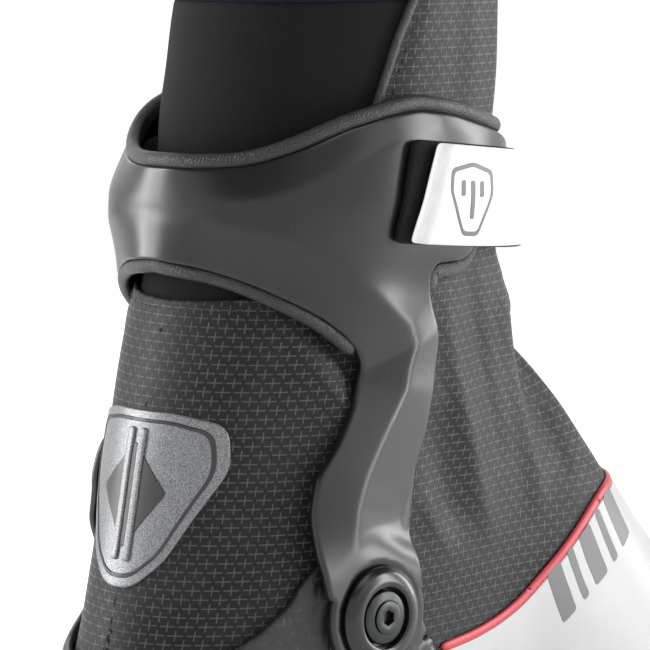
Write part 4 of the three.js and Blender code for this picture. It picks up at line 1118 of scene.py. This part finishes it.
# ---------------------------------------------------------------- sleeve round the leg
def sheet_rows(high, low, inset, count):
    """Chart heights between two heights over the ground, closer together at the ends."""
    near = np.array([0, 0.15, 0.5, 0.8])
    top, bottom = CHART_TOP - high, CHART_TOP - low
    return np.concatenate([top + near, np.linspace(top + inset, bottom - inset, count),
                           bottom - near[::-1]])


def ring_sheet(name, q_values, outer, inner, wave=None, count=220, round_edge=0.8):
    """A sleeve round the leg between two heights, closed all round, with rolled ends."""
    share = np.linspace(-1, 1, count, endpoint=False)
    outside, inside, weave = [], [], []
    for q in q_values:
        left, right = (UPPER_BACK.girth(np.array([q]), s) for s in (-1, 1))
        u, qq = share * np.where(share < 0, left, right), np.full(count, q)
        p, n = UPPER_BACK.point(u, qq), UPPER_BACK.normal(u, qq)
        away = min(abs(q - q_values[0]), abs(q - q_values[-1]))
        short = max(round_edge - away, 0)
        drop = (outer - inner) / 2 * (1 - math.sqrt(max(1 - (short / round_edge) ** 2, 0)))
        push = wave(u, qq) if wave else np.zeros(count)
        outside.append(p + n * (outer - drop + push)[:, None])
        inside.append(p + n * (inner + drop + push)[:, None])
        weave.append(np.stack([u, p[:, 2], np.full(count, 5.0)], 1))
    rings = outside + inside[::-1]
    faces = []
    for i in range(len(rings)):
        k = (i + 1) % len(rings)
        for j in range(count):
            m = (j + 1) % count
            faces.append((i * count + j, k * count + j, k * count + m, i * count + m))
    obj = make_object(name, np.concatenate(rings), faces, np.concatenate(weave + weave[::-1]))
    fix_normals(obj)
    return obj


def sleeve():
    """The knitted sleeve round the leg and the hem at its top."""
    def wave(u, q):
        return 0.25 * np.sin(u * 0.09 + 1) * np.sin(q * 0.10) + 0.15 * np.sin(q * 0.23 + u * 0.03)

    knit = ring_sheet("leg_sleeve", sheet_rows(250.3, 160.0, 2, 60), -1.9, -4.8, wave)
    finish_piece(knit, "bend", "neoprene", ("collar",))
    hem = ring_sheet("sleeve_hem", sheet_rows(253.0, 250.0, 1.1, 3), -1.2, -5.4)
    finish_piece(hem, "cuff", "hem_fleece", ("collar_hem",))


def soft_copy(node, name, voxel):
    """A copy of a CAD solid that is to get an even mesh."""
    obj = bpy.data.objects.new(name, frame["nodes"][node].data.copy())
    bpy.context.scene.collection.objects.link(obj)
    obj.data.materials.clear()
    remesh = obj.modifiers.new("even", "REMESH")
    remesh.mode, remesh.voxel_size, remesh.use_smooth_shade = "VOXEL", voxel, True
    return obj


def smooth_mesh(obj, times):
    """Adds a smoothing of an object's mesh."""
    smooth = obj.modifiers.new("smooth", "SMOOTH")
    smooth.factor, smooth.iterations = 0.5, times


def inner_boot():
    """The laced boot inside, as a soft copy of its solid."""
    slots = {"inner_boot": "lining", "tongue": "lining", "heel_counter": "stiffener"}
    for node, slot in slots.items():
        obj = soft_copy(node, node + "_soft", 0.0014)
        smooth_mesh(obj, 6)
        apply_modifiers(obj)
        co = positions(obj) / MM
        behind = 1 - between(co[:, 0], -125, -85)
        co[:, 0] += 3.6 * behind * between(co[:, 2], 50, 85) * (1 - between(co[:, 2], 140, 172))
        set_positions(obj, co * MM)
        finish_piece(obj, "bend", slot, (node,))


# ---------------------------------------------------------------- foot
def boss(p):
    """The raised round seat for the pivot on the chassis."""
    r = np.hypot(p[:, 0] - PIVOT_X, p[:, 2] - PIVOT_Z)
    return 0.9 * (1 - between(r, 14.2, 16.0))


def chassis():
    """The stiff cup round the heel, from the sole up to the pivots."""
    edge = rounded(CHASSIS_EDGE[2:-1], 6)
    left, right = (UPPER_BACK.locate(edge, s) for s in (-1, 1))
    q = np.linspace(FAN_END_Q - 24, HEEL_CUP_Q, 50)
    bottom = []
    for s in (-1, 1):
        x, z, _ = UPPER.side_view(s * UPPER.girth(q, s) * 0.999, q)
        bottom.append(UPPER_BACK.locate(np.stack([x, np.maximum(z, 13.2)], 1), s))
    heel = [[0, HEEL_CUP_Q]]
    top = [[0, UPPER_BACK.locate([(-139, 76)], 1)[0, 1]]]
    loop = np.concatenate([top, left, bottom[0], heel, bottom[1][::-1], right[::-1]])
    obj = panel("heel_cup", UPPER_BACK, [loop], lambda u, q, base, away: 3.3 + boss(base), 0.4,
                edge=1.2, spacing=2.0)
    finish_piece(obj, "root", "carbon", ("heel_chassis",))


def level_middle(line, reach=17):
    """Lets a chart line cross the middle of the instep square on."""
    away = np.abs(line[:, 0])
    order = np.argsort(away)
    crossing = float(np.interp(reach, away[order], line[order, 1]))
    side = -1 if line[0, 0] < 0 else 1
    outer = line[away > reach]
    u = np.linspace(reach, 0, 9)
    level = np.stack([side * u, crossing + 1.6 * (1 - (u / reach) ** 2)], 1)
    return np.concatenate([outer, level])


def overlay_loop(edge, low):
    """Region from an edge line over the instep forward to the toe."""
    last = UPPER.q[-1] - 0.05
    halves = []
    for s in (-1, 1):
        back = level_middle(UPPER.locate(edge, s))
        tip = [[s * float(UPPER.girth(last, s)) * 0.96, last]]
        halves.append(np.concatenate([back[::-1], UPPER.locate(low, s), tip]))
    return np.concatenate([halves[0], halves[1][::-1]])


def toe_cover():
    """The pale film over the toe and the red tape along its edge."""
    low = [(-50, 60), (-40, 49), (-28, 38), (-8, 25), (14, 17), (30, 13.7)]
    low += [(x, 13.6 + float(toe_spring(x))) for x in (55, 72, 90, 105, 120, 132, 140, 144, 146)]
    loop = overlay_loop(rounded(OVERLAY_EDGE, 8), resample(low, 2.0))
    tip = UPPER.q[-1]
    obj = panel("toe_overlay_film", UPPER, [loop],
                lambda u, q, base, away: 1.15 - 0.9 * between(q, tip - 3, tip), -0.2,
                edge=0.35, spacing=2.2)
    # The film's two halves meet at the tip of the toe.
    for vertex in obj.data.vertices:
        away = abs(vertex.co.y)
        if vertex.co.x > 0.1455 and away < 0.0012:
            vertex.co.y *= max(0, (away - 0.0007) / 0.0005)
    # The darker toe film carries painted shade against the strong light on the toe, besides its
    # silver-grey tone.
    finish_piece(obj, "bend", "white_overlay", ("toe_overlay",), "shaded_toe_film")
    border = rounded(shift_line(OVERLAY_EDGE, 1.2), 8)
    left, right = (level_middle(UPPER.locate(border, s)) for s in (-1, 1))
    _, p, across, n = edge_frames(UPPER, np.concatenate([left, right[::-1]]))
    tape = sweep("red_edge_tape", p + n * 0.55, across, n, ellipse(1.35, 0.75, 14))
    finish_piece(tape, "bend", "red_trim", ("overlay_piping",))


def print_bars():
    """Slanted grey bars printed along the white overlay on both sides."""
    start, along = np.array([-2.0, 73.0]), np.array([0.83, 0.55])
    lean = np.array([-0.30, 0.95])
    widths = [6.5, 3.0, 6.5, 3.0, 6.5]
    for s, label in SIDES:
        at = 0.0
        for i, width in enumerate(widths):
            a = start + along * at
            outline = [a, a + along * width, a + along * width + lean * 15, a + lean * 15]
            loop = UPPER.locate(rounded(outline, 1.2, closed=True), s)
            bar = panel(f"printed_bar_{label}_{i}", UPPER, [loop], 1.22, 1.0,
                        edge=0.1, spacing=2.5)
            finish_piece(bar, "bend", "white_overlay", look="print_grey")
            at += width + 3.4


def rear_points(points):
    """Side view points of rear view points (y, z) on the back of the heel."""
    found = []
    for y, z in points:
        low, high = float(leg_back(z)), float(leg_middle(z))
        for _ in range(40):
            middle = (low + high) / 2
            if upper_half(np.array([middle]), np.array([z]), -1)[0] < abs(y):
                low = middle
            else:
                high = middle
        found.append((low, z))
    return found


def rear_loop(points):
    """Chart loop on the heel's back of a rear view outline; negative y is lateral."""
    points = resample(np.vstack([points, points[:1]]), 1.5)[:-1]
    return np.array([UPPER_BACK.locate([xz], -1 if p[0] < 0 else 1)[0]
                     for p, xz in zip(points, rear_points(points))])


def on_folds(rise):
    """An offset over the softshell that follows its folds."""
    return lambda u, q, base, away: rise + cover_shape(u, q, base, away + 9)


def heel_badge():
    """A silver patch on the heel with a printed outline and diamond and two ribs."""
    outline = rounded([(-24, 139.5), (-12, 142), (12, 142), (24, 139.5), (25.5, 128), (13.5, 103),
                       (5, 95.5), (-5, 95.5), (-13.5, 103), (-25.5, 128)], 4, closed=True)
    obj = panel("heel_patch_film", UPPER_BACK, [rear_loop(outline)], on_folds(0.75), -0.3,
                edge=0.4)
    finish_piece(obj, "bend", "silver_patch", ("heel_patch",))
    middle = np.array([0, 121])
    line = [rear_loop(middle + (outline - middle) * share) for share in (0.90, 0.855)]
    diamond = rounded([(0, 134), (12, 121), (0, 105.5), (-12, 121)], 1.6, closed=True)
    for label, loops, spacing in (("line", line, 1.2), ("diamond", [rear_loop(diamond)], 1.6)):
        mark = panel(f"heel_mark_{label}", UPPER_BACK, loops, on_folds(0.95), 0.5,
                     edge=0.15, spacing=spacing)
        finish_piece(mark, "bend", "silver_patch", look="print_dark")
    for s, label in SIDES:
        y = s * 2.2
        corners = [(y - 1.2, 137.5), (y + 1.2, 137.5), (y + 1.2, 102.5), (y - 1.2, 102.5)]
        loop = rear_loop(rounded(corners, 1.1, closed=True))
        rib = panel(f"heel_rib_{label}", UPPER_BACK, [loop], on_folds(1.45), 0.6,
                    edge=0.45, spacing=1.2, step=0.8)
        finish_piece(rib, "bend", "silver_patch")


# ---------------------------------------------------------------- cuff
CREASE_LOW_CHART = np.vstack([[-10, 197.0], CUFF.locate(CREASE_LOWER, 1)])
CREASE_HIGH_CHART = np.vstack([[-10, 196.0], CUFF.locate(CREASE_UPPER, 1)])
# Middles of the crest's edge and of the window's edge, at the back.
CREST_BACK, WINDOW_BACK = [[0, 206.6]], [[0, 182.0]]


def soft_max(value, radius):
    """The larger of value and 0, with a rounded step."""
    return (value + np.sqrt(value * value + radius * radius)) / 2


def cuff_form(u, q, base, _away=None):
    """Facets of the cuff shell on both sides of its two creases."""
    flat = np.stack([np.abs(u), q], 1)
    low, _, side = line_distance(flat, CREASE_LOW_CHART)
    behind = soft_max(np.where(side < 0, low, -low), 0.7)
    ahead = soft_max(np.where(side > 0, low, -low), 0.7) * (1 - between(q, 164, 184))
    high, _, high_side = line_distance(flat, CREASE_HIGH_CHART)
    above = soft_max(np.where(high_side > 0, high, -high), 1.0)
    start = between(np.abs(u), 2, 26)
    arm = 1 - between(q, 128, 158)
    form = (-0.26 * behind * start * between(q, 98, 116) * (1 - 0.2 * arm)
            - 0.22 * ahead * between(q, 96, 112)
            - 0.30 * above * start * (1 - between(np.abs(u), 95, 115)))
    ring = np.hypot(base[:, 0] - PIVOT_X, base[:, 2] - PIVOT_Z)
    form = form * between(ring, 15, 24)
    step = -0.45 * (1 - between(np.abs(u), 8, 22)) * np.exp(-((q - 194.5) / 2.0) ** 2)
    seat = -0.5 * (1 - between(ring, 13.6, 14.2))
    return np.maximum(form, -4.5) + step + seat


def cuff_side(s):
    """Outline of one side of the shell from the top of its back to the bottom of its back."""
    # The medial arm is set back in the middle of its length.
    set_back = 6.0 if s > 0 else 0
    back = [(x - set_back * math.sin(math.pi * (158 - z) / 64), z) for x, z in ARM_REAR]
    line = (CUFF_TOP[::-1] + [(-30, 198), (-45.5, 182)] + ARM_FRONT[-2::-1]
            + arc(17, 160, 380, 30)[::-1] + back[::-1] + CUFF_WINDOW[::-1])
    return CUFF.locate(rounded(line, 2.6), s)


def cuff_shell():
    """The moulded cuff with a hole for each pivot."""
    outline = np.concatenate([CREST_BACK, cuff_side(-1), WINDOW_BACK, cuff_side(1)[::-1]])
    holes = [CUFF.locate(arc(6.4, 0, 360, 28)[:-1], s) for s in (-1, 1)]
    obj = panel("cuff_moulding", CUFF, [outline] + holes, cuff_form,
                lambda *at: cuff_form(*at) - SHELL_THICKNESS, edge=0.75, spacing=1.35)
    finish_piece(obj, "cuff", "cuff_plastic", ("cuff_shell",))


def rim_profile(ridge):
    """Padded edge binding in section, with a second narrow ridge on its inner side."""
    main = ellipse(2.2, 1.9, 22, 0.4, -0.6)
    if not ridge:
        return main
    x, y = main[:, 0], main[:, 1]
    bump = 1.0 * np.exp(-((x + 1.4) ** 2 + (y + 2.3) ** 2) / 1.1)
    return np.stack([x - bump * 0.4, y - bump * 1.3], 1)


def cuff_rims():
    """Padded bindings along the crest and along the window."""
    crest = rounded([p for p in CUFF_TOP if p[0] < -24], 6)
    line = np.concatenate([CUFF.locate(crest, -1), CREST_BACK, CUFF.locate(crest, 1)[::-1]])
    rim_piece("top_binding", line, -1.0, 1.5, "cuff_top_rim", 1.0, True)
    low = rounded([(-119.4, 180.3), (-113, 177), (-103.2, 171.6), (-95.9, 167.4), (-89, 162),
                   (-85.3, 158.8)], 4)
    line = np.concatenate([CUFF.locate(low, -1)[::-1], WINDOW_BACK, CUFF.locate(low, 1)])
    rim_piece("window_binding", line, -1.6, 0.9, "cuff_lower_rim", 0.9, False)


def rim_piece(name, line, depth, lift, node, size, top):
    """A binding along an edge of the cuff, lifted off it away from the shell."""
    line, p, across, n = edge_frames(CUFF, line)
    if (across[len(across) // 2, 2] > 0) != top:
        across = -across
    centres = p + n * (depth + cuff_form(*line.T, p))[:, None] + across * lift
    obj = sweep(name, centres, across, n, rim_profile(top) * size, shrink=4)
    finish_piece(obj, "cuff", "binding_trim", (node,))


def flange_roll():
    """Padding that shows as a roll under the front of the shell, on each side."""
    edge = rounded([(-60.5, 172), (-60, 177), (-57, 178.2), (-50, 178.2), (-45, 179.8),
                    (-39, 188)], 3)
    for s, label in SIDES:
        _, p, across, n = edge_frames(CUFF, CUFF.locate(edge, s), 1.0)
        if across[len(across) // 2, 2] > 0:
            across = -across
        obj = sweep(f"flange_roll_{label}", p - n * 2.9 + across * 0.6, across, n,
                    ellipse(2.3, 1.5, 16), shrink=4)
        finish_piece(obj, "cuff", "binding_trim")


SWELL_STEPS, SWELL_LIMIT = 20, 1.2 * MM


def cuff_pad():
    """Foam ring inside the cuff, blown up from its solid by a cloth simulation."""
    obj = soft_copy("cuff_padding", "cuff_foam", 0.0026)
    apply_modifiers(obj)
    rest = positions(obj)
    rest[:, 0] += 2.4 * MM * (1 - between(rest[:, 0], -0.122, -0.085))
    set_positions(obj, rest)
    cloth = obj.modifiers.new("swell", "CLOTH")
    cloth.settings.use_pressure = True
    cloth.settings.uniform_pressure_force = 4
    cloth.settings.effector_weights.gravity = 0
    cloth.settings.mass = 0.3
    cloth.point_cache.frame_start, cloth.point_cache.frame_end = 1, SWELL_STEPS
    for step in range(1, SWELL_STEPS + 1):
        bpy.context.scene.frame_set(step)
    apply_modifiers(obj)
    bpy.context.scene.frame_set(1)
    move = positions(obj) - rest
    size = np.linalg.norm(move, axis=1, keepdims=True)
    set_positions(obj, rest + move * np.minimum(1, SWELL_LIMIT / np.maximum(size, 1e-9)))
    smooth_mesh(obj, 3)
    finer = obj.modifiers.new("finer", "SUBSURF")
    finer.levels = finer.render_levels = 1
    apply_modifiers(obj)
    obj.data.polygons.foreach_set("use_smooth", [True] * len(obj.data.polygons))
    finish_piece(obj, "cuff", "foam", ("cuff_padding",), look="lining")


# ---------------------------------------------------------------- pivots
def pivots():
    """A bezel and a screw with a hexagonal socket on each side."""
    bezel = [(8.3, 47.6), (13.2, 47.6), (13.5, 47.9), (13.5, 48.5), (13.3, 48.9), (12.2, 49.8),
             (11.6, 50.15), (10.2, 50.5), (9.3, 50.6), (8.8, 50.5), (8.4, 50.2), (8.3, 49.8),
             (8.3, 47.6)]
    screw = [(0.05, 41.4), (3.6, 41.4), (3.6, 48.3), (7.3, 48.3), (7.35, 49.3), (7.2, 49.7),
             (6.8, 50.0), (5.1, 50.45), (4.75, 50.45), (4.7, 50.2), (4.5, 50.2), (4.45, 50.9),
             (4.3, 51.0), (2.45, 51.0), (2.2, 50.85), (2.15, 49.2), (0.05, 49.2)]
    for s, label in SIDES:
        ring = lathe(f"pivot_bezel_{label}", bezel, s, 96)
        finish_piece(ring, "cuff", "black_plastic", (f"pivot_ring_{label}",))
        bolt = lathe(f"pivot_bolt_{label}", screw, s, 72, hexed=(14, 15))
        finish_piece(bolt, "root", "steel", (f"pivot_screw_{label}",), "dark_steel")


# ---------------------------------------------------------------- strap
STRAP_SLOPE, STRAP_CENTRE, STRAP_HALF = -0.1, 200.0, 13.2


def strap_z(x, z):
    """Height on the sloping strap of a place at x."""
    return z + STRAP_SLOPE * (x + 72)


def strap_loop(from_x, lean, half, corner, front):
    """Loop of a strap from its rear edge on the lateral side to u = front past the middle."""
    x = np.linspace(from_x, -12, 14)
    low = CUFF_FRONT.locate([(a, strap_z(a, STRAP_CENTRE - half)) for a in x], -1)
    high = CUFF_FRONT.locate([(a + lean * (1 - (a - from_x) / (-12 - from_x)),
                               strap_z(a, STRAP_CENTRE + half)) for a in x], -1)
    end = [[front, low[-1, 1] - 0.6], [front, high[-1, 1] - 0.6]]
    return rounded(np.concatenate([low, end, high[::-1]]), corner, closed=True)


# The strap ring's directions and the middle of its front bar.
RING_ALONG, RING_OUT = np.array([0.9577, -0.2876, 0]), np.array([0.2876, 0.9577, 0])
STRAP_BAR = np.array([-28.389, 46.218, 195.5])


def strap_fold():
    """The end of the strap, folded round the front bar of the ring and sewn to itself."""
    path = resample(rounded([(9.0, -5.3), (6.6, -4.6), (3.4, -3.1), (1.2, -2.6), (-2.6, -2.6),
                             (-2.6, 2.6), (1.6, 2.6), (4.4, -0.6), (6.4, -3.1), (10.5, -3.9)],
                            2.3), 0.4)
    centres = STRAP_BAR + path[:, :1] * RING_ALONG + path[:, 1:] * RING_OUT
    tangent = unit_rows(np.gradient(path, axis=0))
    up = -tangent[:, 1:] * RING_ALONG + tangent[:, :1] * RING_OUT
    across = np.tile([0.0, 0, 1], (len(path), 1))
    outline = rounded([(-12.4, -0.55), (12.4, -0.55), (12.4, 0.55), (-12.4, 0.55)], 0.35,
                      closed=True)
    fold = sweep("strap_fold", centres, across, up, outline, close=False)
    finish_piece(fold, "strap", "loop_fabric")


def even_front(obj, limit=0.9):
    """Moves vertices in front that stand apart from all their neighbours back among them."""
    mesh = obj.data
    beside = {v.index: [] for v in mesh.vertices}
    for edge in mesh.edges:
        a, b = edge.vertices
        beside[a].append(b)
        beside[b].append(a)
    for _ in range(3):
        for vertex in mesh.vertices:
            if vertex.co.x < -0.020 or not beside[vertex.index]:
                continue
            around = [mesh.vertices[i].co for i in beside[vertex.index]]
            mean = sum(around, Vector()) / len(around)
            if (vertex.co - mean).length > limit * MM:
                vertex.co = mean


def strap():
    """The strap's base, its return run through the ring, the fold round it and the white tab."""
    base = panel("strap_loop_base", CUFF_FRONT, [strap_loop(-77.5, 5, STRAP_HALF + 0.4, 5, -3)],
                 2.5, 0.3, edge=0.9, spacing=1.8)
    finish_piece(base, "cuff", "loop_fabric", ("strap_base",))
    medial_end = CUFF_FRONT.locate([(-24.5, 196)], 1)[0, 0]
    run = panel("strap_return", CUFF_FRONT, [strap_loop(-70, 5, STRAP_HALF - 0.8, 3, medial_end)],
                4.1, 2.7, edge=0.6, spacing=2.0)
    even_front(run)
    finish_piece(run, "strap", "loop_fabric", ("strap_upper",))
    strap_fold()
    rear_x, lean = -74.8, 8.2

    def tab_top(u, q, _base, _away):
        places = np.stack([np.full(len(q), rear_x), np.clip(q, 62, 230)], 1)
        from_rear = u - CUFF_FRONT.locate(places, -1)[:, 0] - np.clip(lean * (q - 186) / 26, 0, 9)
        return 4.6 + 1.9 * between(from_rear, 0.2, 4.2)

    front = min(CUFF_FRONT.locate([(-4, 196)], 1)[0, 0], 5)
    tab = panel("strap_white_tab", CUFF_FRONT,
                [strap_loop(rear_x, lean, STRAP_HALF - 0.4, 1.6, front)], tab_top, 4.25,
                edge=0.7, spacing=1.5)
    even_front(tab)
    finish_piece(tab, "strap", "white_overlay", ("strap_tab",))


def tab_badge():
    """A plain rounded outline with three bars on the tab."""
    centre_x, centre_z = -55.5, 199.6

    def loop(points, corner):
        return CUFF_FRONT.locate(rounded(points, corner, closed=True), -1)

    def shape(scale):
        outline = [(-8, 7.5), (0, 9.5), (8, 7.5), (8.5, 1.5), (3, -9.5), (-3, -9.5), (-8.5, 1.5)]
        return [(centre_x + a * scale, strap_z(centre_x + a * scale, centre_z + b * scale))
                for a, b in outline]

    marks = {"outline": [loop(shape(1.0), 1.5), loop(shape(0.87), 1.3)]}
    for i, (x, low, high) in enumerate(((-3.6, 0.5, 4.5), (0, -5.0, 4.5), (3.6, 0.5, 4.5))):
        points = [(centre_x + x + dx, strap_z(centre_x + x, centre_z + dz))
                  for dx, dz in ((-0.8, low), (0.8, low), (0.8, high), (-0.8, high))]
        marks[f"bar_{i}"] = [loop(points, 0.5)]
    for label, loops in marks.items():
        mark = panel(f"tab_mark_{label}", CUFF_FRONT, loops, 6.62, 6.2,
                     edge=0.08, spacing=1.0, step=0.7)
        finish_piece(mark, "strap", "white_overlay", look="print_grey")


# ---------------------------------------------------------------- closing
for build in (cover, cover_edges, sleeve, inner_boot, chassis, toe_cover, print_bars, heel_badge,
              cuff_shell, cuff_rims, flange_roll, cuff_pad, pivots, strap, tab_badge):
    build()

# Edge radius in millimetres of the solid pieces that keep their exact shape.
EDGED = {"heel_tread": 0.5, "forefoot_tread": 0.5, "sole_plate": 0.5, "binding_block": 0.5,
         "toe_bar": 0.3, "strap_ring": 0.3, "ring_rivet": 0.3, "ring_tab": 0.2,
         "zip_slider": 0.2, "zip_puller": 0.25, "pivot_bush_lateral": 0.2,
         "pivot_bush_medial": 0.2, "pivot_washer_lateral": 0.15, "pivot_washer_medial": 0.15,
         "lace_lock": 0.4}
SLOTS = {part["node"]: part["material_slot"] for part in frame["record"]["subparts"]}

for node, obj in frame["nodes"].items():
    if obj.hide_render:
        continue
    obj.data.materials.clear()
    obj.data.materials.append(FINISHES[SLOTS.get(node, "rubber")])
    if node in EDGED:
        weld = obj.modifiers.new("weld", "WELD")
        weld.merge_threshold = 1e-6
        bevel = obj.modifiers.new("edges", "BEVEL")
        bevel.width, bevel.segments = EDGED[node] * MM, 3
        bevel.limit_method, bevel.angle_limit = "ANGLE", SHARP
